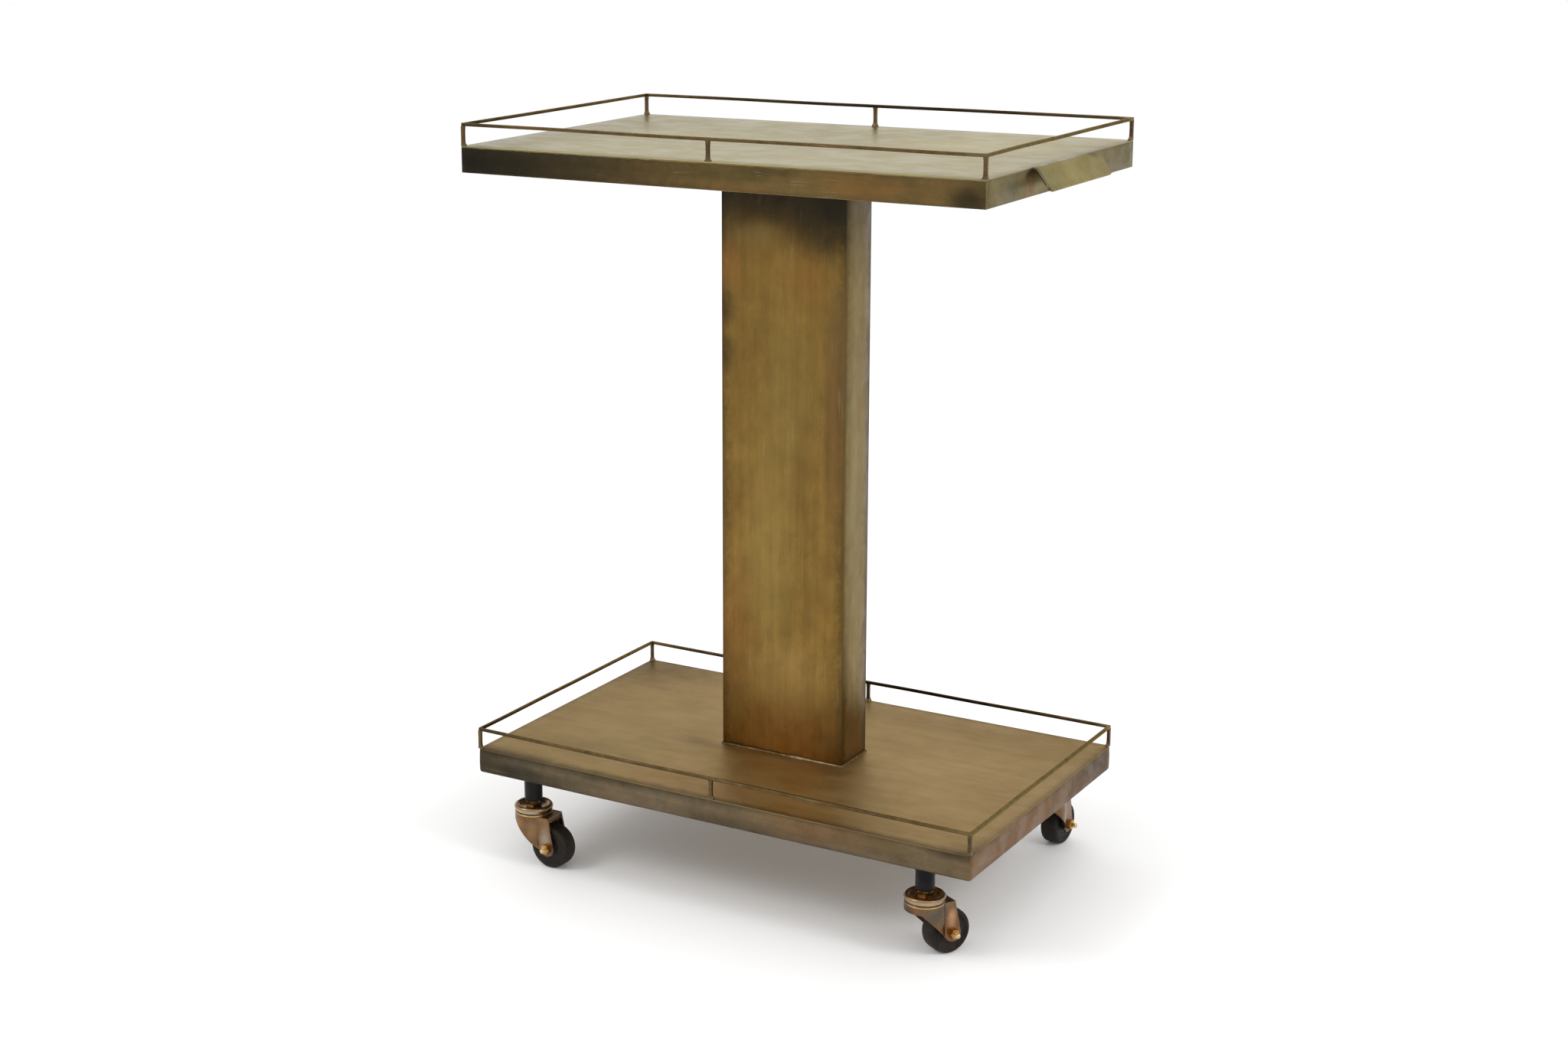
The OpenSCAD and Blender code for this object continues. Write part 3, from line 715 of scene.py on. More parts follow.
def band_profile(height):
    """Side view of an edge strip as (depth inwards, height), outer face first."""
    profile = []
    for i in range(5):
        angle = math.pi / 2 * i / 4
        profile.append((ROLL - ROLL * math.sin(angle), ROLL - ROLL * math.cos(angle)))
    for i in range(1, 4):
        profile.append((0.0, ROLL + (height - ROLL) * i / 4))
    profile.append((0.0, height))
    profile.append((SHEET, height))
    for i in range(3, 0, -1):
        profile.append((SHEET, ROLL + (height - ROLL) * i / 4))
    profile.append((SHEET + 0.1 * MM, ROLL + 0.3 * MM))
    profile.append((SHEET + 0.4 * MM, SHEET))
    return profile


def band_shape(points, low_z, height, radius, seed):
    shape = bmesh.new()
    profile = band_profile(height)
    rings = []
    for (cx, cy), angle in points:
        ring = []
        for inwards, z in profile:
            reach = radius - inwards
            x = cx + reach * math.cos(angle)
            y = cy + reach * math.sin(angle)
            wave = BAND_WAVE * noise.noise(Vector((x / 0.10, y / 0.10, z / 0.04 + seed)))
            wave += BULGE * math.sin(math.pi * min(1.0, z / height))
            x += wave * math.cos(angle)
            y += wave * math.sin(angle)
            ring.append(shape.verts.new((x, y, low_z + z)))
        rings.append(ring)
    bridge(shape, rings)
    shape.faces.new(rings[0])
    shape.faces.new(list(reversed(rings[-1])))
    return shape


LOWER_SMUDGES = {
    "front": [
        (0.0, 0.5, 0.16, FAR, SOOT_AND_SHADE, 0.62),
        (0.12, 0.2, 0.12, 0.02, SOOT_AND_SHADE, 0.5),
        (0.30, 0.95, 0.22, 0.010, SOOT_AND_SHADE, 0.55),
        (0.52, 0.1, 0.12, 0.012, SOOT_AND_SHADE, 0.40),
        (0.97, 0.95, 0.05, 0.010, SOOT_AND_SHADE, 0.60),
        (0.86, 0.7, 0.06, 0.012, OLIVE, 0.4),
        (0.72, 0.7, 0.12, 0.02, COPPER, 0.3),
    ],
    "right": [
        (0.05, 0.5, 0.03, 0.02, (0.22, 0.14, 0.075), 0.5),
        (0.40, 0.2, 0.12, 0.012, COPPER, 0.35),
        (0.9, 0.6, 0.12, 0.03, SOOT_AND_SHADE, 0.45),
    ],
    "back": [(0.2, 0.5, 0.2, FAR, SOOT_AND_SHADE, 0.5)],
    "left": [(0.1, 0.5, 0.12, FAR, SOOT_AND_SHADE, 0.75)],
}
band_height = lower_high.z - lower_low.z - BAND_GAP
for number, (side, points) in enumerate(rounded_outline(sheet_low, sheet_high, CORNER, 44, 5)):
    node = "lower_skirt_" + side
    low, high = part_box(node)
    band = band_shape(points, low.z, band_height, CORNER, 2.0 * number)
    finish = side_brass("lower_band_brass_", side, (low, high), LOWER_SMUDGES[side], 11.3 + number * 2.3,
                        ((0.165, 0.125, 0.074), (0.094, 0.075, 0.050)),
                        ((0.185, 0.097, 0.038), (0.118, 0.063, 0.027)), thin=(0, 1),
                        copper=0.12, scale=11.0, roughness=(0.34, 0.52), wear=0.0, border=0.3,
                        border_reach=0.005, contrast=0.36, scrapes=0.22)
    add_piece("lower_band_" + side, band, finish, "cart", [node], 50)
print("lower shelf bands", len(LOWER_SMUDGES))

# %% [markdown]
# The lower sheet lies on the bands. Its rim is rolled over softly, so the sheet is a rounded
# rectangle whose outer rings step down in a quarter circle. It is paler to the sides, and the warm,
# coppery patch in front of the column is a painted reflection of the column.

# %% Lower sheet


def soft_plate(low, high, corner, roll, depth, seed, step=14 * MM):
    """A plate with round corners, a rolled rim above and slow dents in its face."""
    inner_low = Vector((low.x + corner, low.y + corner, 0))
    inner_high = Vector((high.x - corner, high.y - corner, 0))
    shape = bmesh.new()
    count_x = int((inner_high.x - inner_low.x) / step)
    count_y = int((inner_high.y - inner_low.y) / step)

    def dent(x, y):
        edge = min(x - low.x, high.x - x, y - low.y, high.y - y)
        fade = min(1.0, max(0.0, edge / 0.02))
        return depth * fade * noise.noise(Vector((x / 0.12, y / 0.12, seed)))

    grid = []
    for i in range(count_x + 1):
        x = inner_low.x + (inner_high.x - inner_low.x) * i / count_x
        column = []
        for j in range(count_y + 1):
            y = inner_low.y + (inner_high.y - inner_low.y) * j / count_y
            column.append(shape.verts.new((x, y, high.z + dent(x, y))))
        grid.append(column)
    for i in range(count_x):
        for j in range(count_y):
            shape.faces.new((grid[i][j], grid[i + 1][j], grid[i + 1][j + 1], grid[i][j + 1]))
    rim = [(grid[count_x][j], 0.0) for j in range(count_y + 1)]
    rim += [(grid[i][count_y], math.pi / 2) for i in range(count_x, -1, -1)]
    rim += [(grid[0][j], math.pi) for j in range(count_y, -1, -1)]
    rim += [(grid[i][0], math.pi * 1.5) for i in range(count_x + 1)]
    arc_steps = 6
    walk = []
    for i, (vert, angle) in enumerate(rim):
        walk.append((vert, angle))
        following = rim[(i + 1) % len(rim)][0]
        if following is vert:
            for k in range(1, arc_steps):
                walk.append((vert, angle + math.pi / 2 * k / arc_steps))
    outward = [(corner - roll, 0.0)]
    outward += [
        (corner - roll + roll * math.sin(a), -roll + roll * math.cos(a))
        for a in (math.pi / 2 * k / 5 for k in range(1, 6))
    ]
    outward += [(corner, -(high.z - low.z)), (corner - roll, -(high.z - low.z))]
    rings = []
    for reach, drop in outward:
        rings.append([
            shape.verts.new((
                vert.co.x + reach * math.cos(angle),
                vert.co.y + reach * math.sin(angle),
                vert.co.z + drop,
            ))
            for vert, angle in walk
        ])
    count = len(walk)
    first = [vert for vert, _ in walk]
    for a, b in zip([first] + rings, rings):
        for i in range(count):
            j = (i + 1) % count
            if a[i] is a[j]:
                shape.faces.new((a[i], b[i], b[j]))
            else:
                shape.faces.new((a[i], b[i], b[j], a[j]))
    shape.faces.new(list(reversed(rings[-1])))
    return shape


column_low, column_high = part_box("column_front")
column_middle = ((column_low.x + column_high.x) / 2, (sheet_low.y + sheet_high.y) / 2)
sheet_box = (sheet_low, sheet_high)
sheet_marks_and_reflection = [
    # The first two rows are the painted reflection of the column.
    ((column_middle[0], sheet_low.y + 0.10, 0), (0.17, 0.13, FAR), (0.300, 0.195, 0.074), 0.50),
    ((column_middle[0] - 0.06, sheet_low.y + 0.03, 0), (0.12, 0.05, FAR), COPPER, 0.28),
    ((*column_middle, 0), (0.118, 0.070, FAR), (0.36, 0.28, 0.15), 0.35),
    (along(sheet_box, 0.2, 0.4), (0.16, 0.16, FAR), (0.28, 0.215, 0.095), 0.35),
    (along(sheet_box, 0.78, 0.5), (0.10, 0.14, FAR), (0.375, 0.27, 0.115), 0.4),
    (along(sheet_box, 0.0, 0.0), (0.22, 0.030, FAR), SOOT_AND_SHADE, 0.60),
    (along(sheet_box, 0.0, 1.0), (0.16, 0.14, FAR), SOOT_AND_SHADE, 0.40),
    (along(sheet_box, 0.16, 0.16), (0.10, 0.06, FAR), SOOT_AND_SHADE, 0.16),
    ((column_low.x - 0.02, column_low.y - 0.012, 0), (0.05, 0.022, FAR), (0.16, 0.10, 0.045), 0.55),
    (along(sheet_box, 1.0, 0.0), (0.05, 0.04, FAR), SOOT_AND_SHADE, 0.45),
    (along(sheet_box, 0.5, 0.0), (0.6, 0.014, FAR), SOOT_AND_SHADE, 0.40),
    (along(sheet_box, 0.985, 0.5), (0.012, 0.2, FAR), (0.36, 0.25, 0.135), 0.45),
]
sheet_shape = soft_plate(sheet_low, sheet_high, CORNER, 1.3 * MM, 0.7 * MM, 4.4)
sheet_finish = aged_brass("lower_plate_brass", sheet_box, (2,), sheet_marks_and_reflection, 5.2, (0.6, 1, 1), copper=0.12,
                          wear=0.0, border=0.3, light=(0.350, 0.242, 0.104), dark=(0.285, 0.198, 0.086),
                          contrast=0.14, bump=0.12, scrapes=0.10, roughness=(0.44, 0.54),
                          edge_tint=(0.85, 0.80, 0.72))
add_piece("lower_plate", sheet_shape, sheet_finish, "cart", ["lower_sheet"], 45)
print("lower sheet has soft corners of", CORNER / MM, "mm")

# %% [markdown]
# ## The gallery rails
# A square brass bar, thinner than a pencil, bent into a rectangle and held on short posts. It is
# never perfectly straight. We carry a small square with rounded corners round the rectangle, and let
# a slow noise push it by a few tenths of a millimetre.

# %% Rails
RAIL_CORNER = 1.8 * MM
RAIL_SWAY = 0.45 * MM
RAIL_BOB = 0.5 * MM
HAND_FILED = 1.06


def square_section(side, radius, steps=2):
    half = side / 2
    points = []
    for k, (sx, sy) in enumerate(((1, 1), (-1, 1), (-1, -1), (1, -1))):
        for i in range(steps + 1):
            angle = math.pi / 2 * (k + i / steps)
            points.append((
                sx * (half - radius) + radius * math.cos(angle),
                sy * (half - radius) + radius * math.sin(angle),
            ))
    return points


def rail_shape(low, high, seed):
    side = (high.z - low.z) * HAND_FILED
    section = square_section(side, 0.5 * MM)
    shape = bmesh.new()
    rings = []
    for _, points in rounded_outline(low, high, RAIL_CORNER, 60, 4):
        for (cx, cy), angle in points[:-1]:
            reach = RAIL_CORNER - side / 2
            x = cx + reach * math.cos(angle)
            y = cy + reach * math.sin(angle)
            sway = RAIL_SWAY * noise.noise(Vector((x / 0.11, y / 0.11, seed)))
            bob = RAIL_BOB * noise.noise(Vector((x / 0.13, y / 0.13, seed + 9)))
            ring = []
            for across, height in section:
                ring.append(shape.verts.new((
                    x + (across + sway) * math.cos(angle),
                    y + (across + sway) * math.sin(angle),
                    (low.z + high.z) / 2 + height + bob,
                )))
            rings.append(ring)
    bridge(shape, rings, closed=True)
    return shape


def rail_finish(name, box, shift):
    low, high = box
    smudges = [
        ((low.x + 0.30, high.y, high.z), (0.42, 0.03, FAR), (0.022, 0.014, 0.009), 0.9),
        ((low.x, low.y, high.z), (0.12, 0.10, FAR), SOOT_AND_SHADE, 0.6),
        ((high.x, low.y + 0.05, high.z), (0.03, 0.30, FAR), (0.15, 0.12, 0.06), 0.5),
        ((high.x, high.y, high.z), (0.02, 0.02, FAR), WORN, 0.35),
    ]
    return aged_brass(name, box, (0, 1, 2), smudges, shift, copper=0.2, scale=30.0, wear=0.0, border=0.0,
                      light=(0.125, 0.092, 0.042), dark=(0.058, 0.042, 0.021), contrast=0.3,
                      roughness=(0.28, 0.5), edge_tint=(0.80, 0.70, 0.50))


rail_boxes = {}
for shelf, shift in (("top", 21.0), ("lower", 24.0)):
    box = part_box(shelf + "_rails")
    rail_boxes[shelf] = box
    finish = rail_finish(shelf + "_rail_brass", box, shift)
    ring = rail_shape(*box, shift)
    add_piece(shelf + "_rail_ring", ring, finish, "cart", [shelf + "_rails"], 60)
print("rails at", [round(box[1].z * 1000) for box in rail_boxes.values()], "mm")

# %% [markdown]
# ## The posts
# Each post is a stub of the same bar, brazed at both ends, and the braze has run into a small lump
# that spreads at the foot. We loft a square whose side swells towards both ends, and roughen only
# the swollen parts. Metaballs would make rounder lumps, but would lose the square stub.

# %% Posts
POST_SIDE = 3.6 * MM
POST_LEAN = 0.5 * MM
POST_LUMPS = 0.45 * MM
POST_RINGS = (
    (0.00, 2.20), (0.03, 2.05), (0.07, 1.75), (0.12, 1.42), (0.18, 1.20), (0.26, 1.10),
    (0.45, 1.07), (0.65, 1.07), (0.80, 1.12), (0.88, 1.20), (0.94, 1.32), (1.00, 1.45),
)


def add_post(shape, x, y, low, high, side, seed):
    """One stub with its two lumps of braze, kept within the box from low to high."""
    rings = []
    for share, swell in POST_RINGS:
        z = low.z + (high.z - low.z) * share
        rough = min(1.0, (swell - 1.0) * 2.0)
        ring = []
        for px, py in square_section(side * swell, side * swell * (0.16 + 0.22 * rough), 3):
            bump = rough * POST_LUMPS * noise.noise(Vector((px, py, z)) / 0.0022 + Vector((seed, seed, 0)))
            out = Vector((px, py)).normalized() * bump
            ring.append(shape.verts.new((
                min(max(x + px + out.x, low.x), high.x),
                min(max(y + py + out.y, low.y), high.y),
                z,
            )))
        rings.append(ring)
    bridge(shape, rings)
    shape.faces.new(list(reversed(rings[0])))
    shape.faces.new(rings[-1])


for shelf, shift in (("top", 27.0), ("lower", 29.0)):
    low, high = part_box(shelf + "_posts")
    side = POST_SIDE
    shape = bmesh.new()
    seed = shift
    for x in (low.x + side / 2, (low.x + high.x) / 2, high.x - side / 2):
        for y in (low.y + side / 2, high.y - side / 2):
            seed += 3.3
            lean = POST_LEAN * noise.noise(Vector((x, y, seed)) * 9)
            add_post(shape, x + lean, y, low, high, side, seed)
    ends = [
        ((0, 0, low.z), (FAR, FAR, 0.004), (0.16, 0.115, 0.06), 0.5),
        ((0, 0, high.z), (FAR, FAR, 0.003), (0.15, 0.10, 0.05), 0.4),
    ]
    finish = aged_brass(shelf + "_post_brass", (low, high), (0, 1, 2), ends, shift, copper=0.35, scale=40.0,
                        wear=0.0, border=0.0, light=(0.120, 0.090, 0.046), dark=(0.048, 0.036, 0.022),
                        contrast=0.3, roughness=(0.3, 0.5))
    add_piece(shelf + "_post_set", shape, finish, "cart", [shelf + "_posts"], 60)
print("posts made")

# %% [markdown]
# ## The column
# Four long panels, butted and brazed along the corners. The broad panels run past the narrow ones, so
# a fine seam shows on the sides. The heat has left orange clouds down the front, and the dark band
# under the top shelf is painted shadow of the shelf.

# %% Column panels
PANEL_MARKS_AND_SHADE = {
    "front": [
        # The first two rows paint the shadow of the top shelf.
        (0.5, 1.0, FAR, 0.095, SOOT_AND_SHADE, 0.97),
        (0.5, 0.94, FAR, 0.075, SOOT_AND_SHADE, 0.68),
        (0.80, 0.93, 0.055, 0.075, SOOT_AND_SHADE, 0.60),
        (0.28, 0.885, 0.045, 0.024, (0.215, 0.150, 0.052), 0.35),
        (0.88, 0.895, 0.045, 0.045, SOOT_AND_SHADE, 0.40),
        (0.72, 0.82, 0.035, 0.045, COPPER, 0.38),
        (0.55, 0.14, 0.075, 0.070, (0.310, 0.190, 0.060), 0.60),
        (0.0, 0.76, 0.030, 0.040, SOOT_AND_SHADE, 0.55),
        (0.0, 0.69, 0.028, 0.030, SOOT_AND_SHADE, 0.50),
        (0.05, 0.83, 0.025, 0.040, COPPER, 0.50),
        (0.93, 0.58, 0.022, 0.20, (0.135, 0.078, 0.028), 0.80),
        (1.0, 0.72, 0.030, 0.12, (0.12, 0.075, 0.030), 0.60),
        (0.40, 0.36, 0.050, 0.20, (0.265, 0.180, 0.052), 0.55),
        (0.55, 0.62, 0.050, 0.14, (0.235, 0.160, 0.048), 0.40),
        (0.10, 0.20, 0.045, 0.11, COPPER, 0.40),
        (0.55, 0.03, 0.11, 0.06, (0.30, 0.155, 0.056), 0.55),
        (0.95, 0.03, 0.04, 0.03, SOOT_AND_SHADE, 0.22),
    ],
    "right": [
        # The first row paints the shadow of the top shelf.
        (0.5, 1.0, FAR, 0.15, SOOT_AND_SHADE, 0.72),
        (0.4, 0.5, 0.03, 0.30, (0.22, 0.18, 0.075), 0.45),
        (1.0, 0.5, 0.007, 0.6, (0.07, 0.05, 0.03), 0.70),
        (0.5, 0.04, 0.04, 0.08, COPPER, 0.3),
    ],
    "back": [
        # The first row paints the shadow of the top shelf.
        (0.5, 1.0, FAR, 0.08, SOOT_AND_SHADE, 0.75),
        (0.3, 0.5, 0.05, 0.15, COPPER, 0.4),
        (0.7, 0.2, 0.06, 0.08, COPPER, 0.4),
    ],
    "left": [
        # The first row paints the shadow of the top shelf.
        (0.5, 1.0, FAR, 0.07, SOOT_AND_SHADE, 0.75),
        (0.5, 0.5, 0.04, 0.2, COPPER, 0.35),
    ],
}
for number, (side, spots) in enumerate(PANEL_MARKS_AND_SHADE.items()):
    node = "column_" + side
    low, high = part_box(node)
    radius = 0.65 * MM if side in BROAD else 0.3 * MM
    panel = sheet_metal(low, high, seed=6.0 + number, radius=radius, depth=0.55 * MM, length=0.11)
    finish = side_brass("column_brass_", side, (low, high), spots, 31.0 + number * 1.4,
                        ((0.222, 0.136, 0.034), (0.132, 0.081, 0.023)),
                        ((0.228, 0.157, 0.047), (0.162, 0.110, 0.034)),
                        stretch=(1, 1, 0.6), grain=ALONG_Z, copper=0.18, scale=13.0, wear=0.0, border=0.45,
                        border_reach=0.012, scrapes=0.12, bump=0.2)
    add_piece("column_panel_" + side, panel, finish, "cart", [node])
print("column", round((column_high.z - column_low.z) * 1000), "mm tall")

# %% [markdown]
# ## The braze bead
# Where the column meets the lower shelf, filler metal was run round the foot by hand. It is a rope of
# small overlapping puddles, brighter than the patina because it was rubbed clean afterwards. A tube
# carried round the foot with a lumpy radius says this better than a bump map, since it breaks the
# silhouette.

# %% Braze bead
bead_low, bead_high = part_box("column_foot_bead")
BEAD_CORNER = 0.4 * MM
PUDDLE = 4.5 * MM


def bead_shape():
    size = bead_high.z - bead_low.z
    inner_low = Vector((bead_low.x + size, bead_low.y + size, bead_low.z))
    inner_high = Vector((bead_high.x - size, bead_high.y - size, bead_low.z))
    shape = bmesh.new()
    rings = []
    around = 10
    for _, points in rounded_outline(inner_low, inner_high, BEAD_CORNER, 90, 3):
        for (cx, cy), angle in points[:-1]:
            puddle = noise.noise(Vector((cx / PUDDLE, cy / PUDDLE, 2.0)))
            slow = noise.noise(Vector((cx / 0.02, cy / 0.02, 7.0)))
            radius = size * (0.62 + 0.22 * puddle + 0.30 * slow)
            ring = []
            for k in range(around):
                turn = 2 * math.pi * k / around
                reach = BEAD_CORNER + radius * math.cos(turn) * 1.15
                rough = 0.15 * MM * noise.noise(Vector((cx / 0.002, cy / 0.002, turn * 2)))
                ring.append(shape.verts.new((
                    cx + (reach + rough) * math.cos(angle),
                    cy + (reach + rough) * math.sin(angle),
                    bead_low.z + max(0.0, (radius + rough) * math.sin(turn)),
                )))
            rings.append(ring)
    bridge(shape, rings, closed=True)
    return shape


bead_smudges = [
    (along((bead_low, bead_high), 0.75, 0.0), (0.045, 0.03, FAR), (0.33, 0.26, 0.15), 0.6),
    (along((bead_low, bead_high), 0.05, 0.0), (0.04, 0.03, FAR), SOOT_AND_SHADE, 0.4),
]
bead_finish = aged_brass("braze_bead", (bead_low, bead_high), (0, 1, 2), bead_smudges, 41.0, copper=0.2,
                         light=(0.130, 0.084, 0.038), dark=(0.062, 0.040, 0.020), scale=45.0, wear=0.0,
                         border=0.0, contrast=0.35, roughness=(0.42, 0.60), edge_tint=(0.8, 0.75, 0.6))
add_piece("column_weld", bead_shape(), bead_finish, "cart", ["column_foot_bead"], 70)
print("bead", round((bead_high.z - bead_low.z) * 1000, 1), "mm high")

# %% [markdown]
# ## Turned and pressed parts
# Sleeves, cups and wheels are round, so each is a half section spun about an axis. The
# section is drawn with sharp corners, and a small function replaces each corner by an arc, which is
# how a drawing for a lathe works too.

# %% Lathe helper


def filleted(points, radii, steps=4):
    """A closed outline with each corner replaced by an arc of its own radius."""
    result = []
    count = len(points)
    for i, point in enumerate(points):
        p = Vector(point)
        before = Vector(points[i - 1]) - p
        after = Vector(points[(i + 1) % count]) - p
        radius = radii[i]
        opening = before.angle(after) if radius > 0 else math.pi
        if radius <= 0 or abs(opening - math.pi) < 0.02:
            result.append(tuple(p))
            continue
        cut = min(radius / math.tan(opening / 2), before.length * 0.49, after.length * 0.49)
        real = cut * math.tan(opening / 2)
        centre = p + (before.normalized() + after.normalized()).normalized() * (real / math.sin(opening / 2))
        start = p + before.normalized() * cut - centre
        end = p + after.normalized() * cut - centre
        turn = start.angle_signed(end)
        for k in range(steps + 1):
            a = -turn * k / steps
            result.append((
                centre.x + start.x * math.cos(a) - start.y * math.sin(a),
                centre.y + start.x * math.sin(a) + start.y * math.cos(a),
            ))
    return result


def spin(shape, section, matrix, segments=72):
    """Adds a solid of revolution about local Z to a bmesh. The section is closed, as (radius, height)."""
    rings = []
    for k in range(segments):
        turn = 2 * math.pi * k / segments
        rings.append([
            shape.verts.new(matrix @ Vector((radius * math.cos(turn), radius * math.sin(turn), height)))
            for radius, height in section
        ])
    count = len(section)
    for a, b in zip(rings, rings[1:] + rings[:1]):
        for i in range(count):
            j = (i + 1) % count
            if section[i][0] < 1e-7 and section[j][0] < 1e-7:
                continue
            shape.faces.new((a[i], b[i], b[j], a[j]))
    bmesh.ops.remove_doubles(shape, verts=shape.verts[:], dist=1e-7)


def add_spun(name, section, places, segments, material, body, node, smooth):
    """One piece, made of the same section spun at each place."""
    shape = bmesh.new()
    for matrix in places:
        spin(shape, section, matrix, segments)
    return add_piece(name, shape, material, body, [node], smooth)


corners = ["front_left", "front_right", "back_left", "back_right"]
joints = {joint["name"]: joint for joint in frame["joints"]}
stem_frame = {}
caster_frame = {}
axle_frame = {}
for corner in corners:
    swivel = Vector(joints["swivel_" + corner]["pos_m"])
    axle = Vector(joints["roll_" + corner]["pos_m"])
    side_way = Vector(joints["roll_" + corner]["axis"]).normalized()
    ahead = side_way.cross(Vector((0, 0, 1)))
    turn = Matrix((ahead, side_way, Vector((0, 0, 1)))).transposed().to_4x4()
    stem_frame[corner] = Matrix.Translation((swivel.x, swivel.y, 0))
    caster_frame[corner] = stem_frame[corner] @ turn
    spin_up = Matrix((ahead, Vector((0, 0, 1)), -side_way)).transposed().to_4x4()
    axle_frame[corner] = Matrix.Translation(axle) @ spin_up


def local_points(node):
    """Points of a front left node, seen from its caster."""
    to_local = caster_frame["front_left"].inverted()
    return [to_local @ v.co for v in frame["nodes"][node + "_front_left"].data.vertices]


print("casters trail", round((axle - swivel).xy.length * 1000, 1), "mm")

# %% [markdown]
# ## Caster finishes
# The fork is pressed steel with a thin plating that has gone violet grey, copper and straw yellow in
# soft patches. The cup is dark glossy bronze, with a painted silvery reflection in a band low on its
# wall; the axle bolts keep their gold passivate, and the wheels are black rubber with grey dust in the
# mouldings.

# %% Materials: plated steel, bronze, rubber


def plated(name, colours, roughness, scale=60.0, metallic=1.0, smudges=(), bump_depth=0.05 * MM,
           specular=0.5, contrast=0.15):
    """Plating in three tints, with soft marks laid over it, some of them painted reflections."""
    material, wires, shader = new_finish(name, metallic)
    shader.inputs["Specular IOR Level"].default_value = specular
    first = use_group(wires, clouds_group, {"Scale": scale}).outputs
    second = use_group(wires, clouds_group, {"Scale": scale * 0.6, "Shift": 2.1}).outputs
    colour = wires.mix(first["Clouds"], colours[0], colours[1])
    colour = wires.mix(wires.times(second["Clouds"], 0.8), colour, colours[2])
    colour = add_soft_marks(wires, colour, smudges, 0.25)
    lay_surface(wires, shader, colour, (first["Fine"], second["Blotches"]), contrast, first["Blotches"],
                roughness, (0.4, bump_depth, second["Streaks"]))
    return material


race_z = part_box("swivel_balls_front_left")[0].z
cup_low, cup_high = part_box("caster_cups")
sleeve_finish = plated(
    "blackened_sleeve", [(0.005, 0.0045, 0.006), (0.012, 0.010, 0.0115), (0.017, 0.0135, 0.0125)],
    (0.36, 0.5), metallic=0.5, specular=0.2)
# The pale band low on the cup's wall is a painted silvery reflection.
cup_finish = plated(
    "bronze_cup", [(0.200, 0.128, 0.070), (0.290, 0.180, 0.086), (0.340, 0.185, 0.076)], (0.22, 0.34), 80.0,
    smudges=[((0, 0, cup_low.z + 1.6 * MM), (FAR, FAR, 2.6 * MM), (0.44, 0.41, 0.34), 0.85)], contrast=0.08)
locknut_finish = plated(
    "bronze_locknut", [(0.110, 0.068, 0.032), (0.190, 0.115, 0.048), (0.270, 0.145, 0.048)],
    (0.22, 0.36), 110.0)
FORK_PATCHES = (
    ("front_left", (-6, -14.5, 52), (13, 30, 12), (0.30, 0.140, 0.058), 0.75),
    ("front_left", (10, -14.5, 46), (8, 30, 16), (0.26, 0.165, 0.070), 0.60),
    ("front_left", (25, -14.5, 36), (11, 30, 20), (0.30, 0.230, 0.165), 0.85),
    ("front_left", (29, 0, 58), (8, 9, 6), (0.16, 0.130, 0.100), 0.70),
    ("front_right", (-2, -18, 53), (24, 20, 17), (0.092, 0.082, 0.064), 0.92),
    ("front_right", (25, -14.5, 42), (5.5, 9, 17), (0.46, 0.255, 0.130), 0.85),
    ("front_right", (-18, 0, 56), (14, 14, 8), (0.060, 0.052, 0.042), 0.85),
    ("back_right", (18, -14.5, 44), (16, 30, 24), (0.27, 0.200, 0.150), 0.85),
    ("back_left", (18, -14.5, 44), (14, 30, 20), (0.24, 0.170, 0.110), 0.70),
)
patches = [
    (tuple(caster_frame[corner] @ (Vector(where) * MM)), tuple(value * MM for value in size), tint, strength)
    for corner, where, size, tint, strength in FORK_PATCHES
]
fork_finish = plated(
    "copper_plated_fork", [(0.11, 0.080, 0.058), (0.23, 0.138, 0.070), (0.18, 0.092, 0.042)],
    (0.22, 0.38), 30.0, smudges=patches, contrast=0.22)
ring_finish = plated(
    "gilt_race_ring", [(0.060, 0.040, 0.022), (0.100, 0.066, 0.032), (0.130, 0.075, 0.030)],
    (0.16, 0.30), 90.0, smudges=[((0, 0, race_z + 0.7 * MM), (FAR, FAR, 1.1 * MM), (0.62, 0.38, 0.14), 0.95)])
gold_finish = plated(
    "gold_passivate", [(0.50, 0.28, 0.07), (0.62, 0.38, 0.12), (0.34, 0.15, 0.03)],
    (0.14, 0.30), 120.0)
bolt_finish = plated(
    "bolt_end", [(0.62, 0.46, 0.26), (0.75, 0.62, 0.44), (0.50, 0.32, 0.12)],
    (0.12, 0.26), 120.0)
steel_finish = plated(
    "plain_steel", [(0.16, 0.15, 0.14), (0.26, 0.25, 0.23), (0.20, 0.14, 0.09)],
    (0.32, 0.5), 25.0)
bright_finish = plated(
    "bearing_steel", [(0.55, 0.55, 0.56), (0.65, 0.65, 0.66), (0.5, 0.5, 0.5)],
    (0.08, 0.16), 90.0)
tyre_finish = plated("black_rubber", [(0.009, 0.0065, 0.005), (0.015, 0.011, 0.008), (0.027, 0.019, 0.013)],
                     (0.5, 0.68), 70.0, metallic=0.0, bump_depth=0.1 * MM, specular=0.17)
hub_finish = plated("black_core", [(0.008, 0.0065, 0.006), (0.013, 0.011, 0.009), (0.020, 0.016, 0.013)],
                    (0.40, 0.58), 90.0, metallic=0.0, specular=0.2)
print("caster finishes made")

# %% [markdown]
# ## Sleeve, nut and cup
# The sleeve is a plain tube with broken edges, and a bronze lock nut clamps the cup below it. The cup
# is pressed: its wall rises to a fat round bead, then dives into a dish where the nut sits. We draw
# the sections from the real heights and radii.

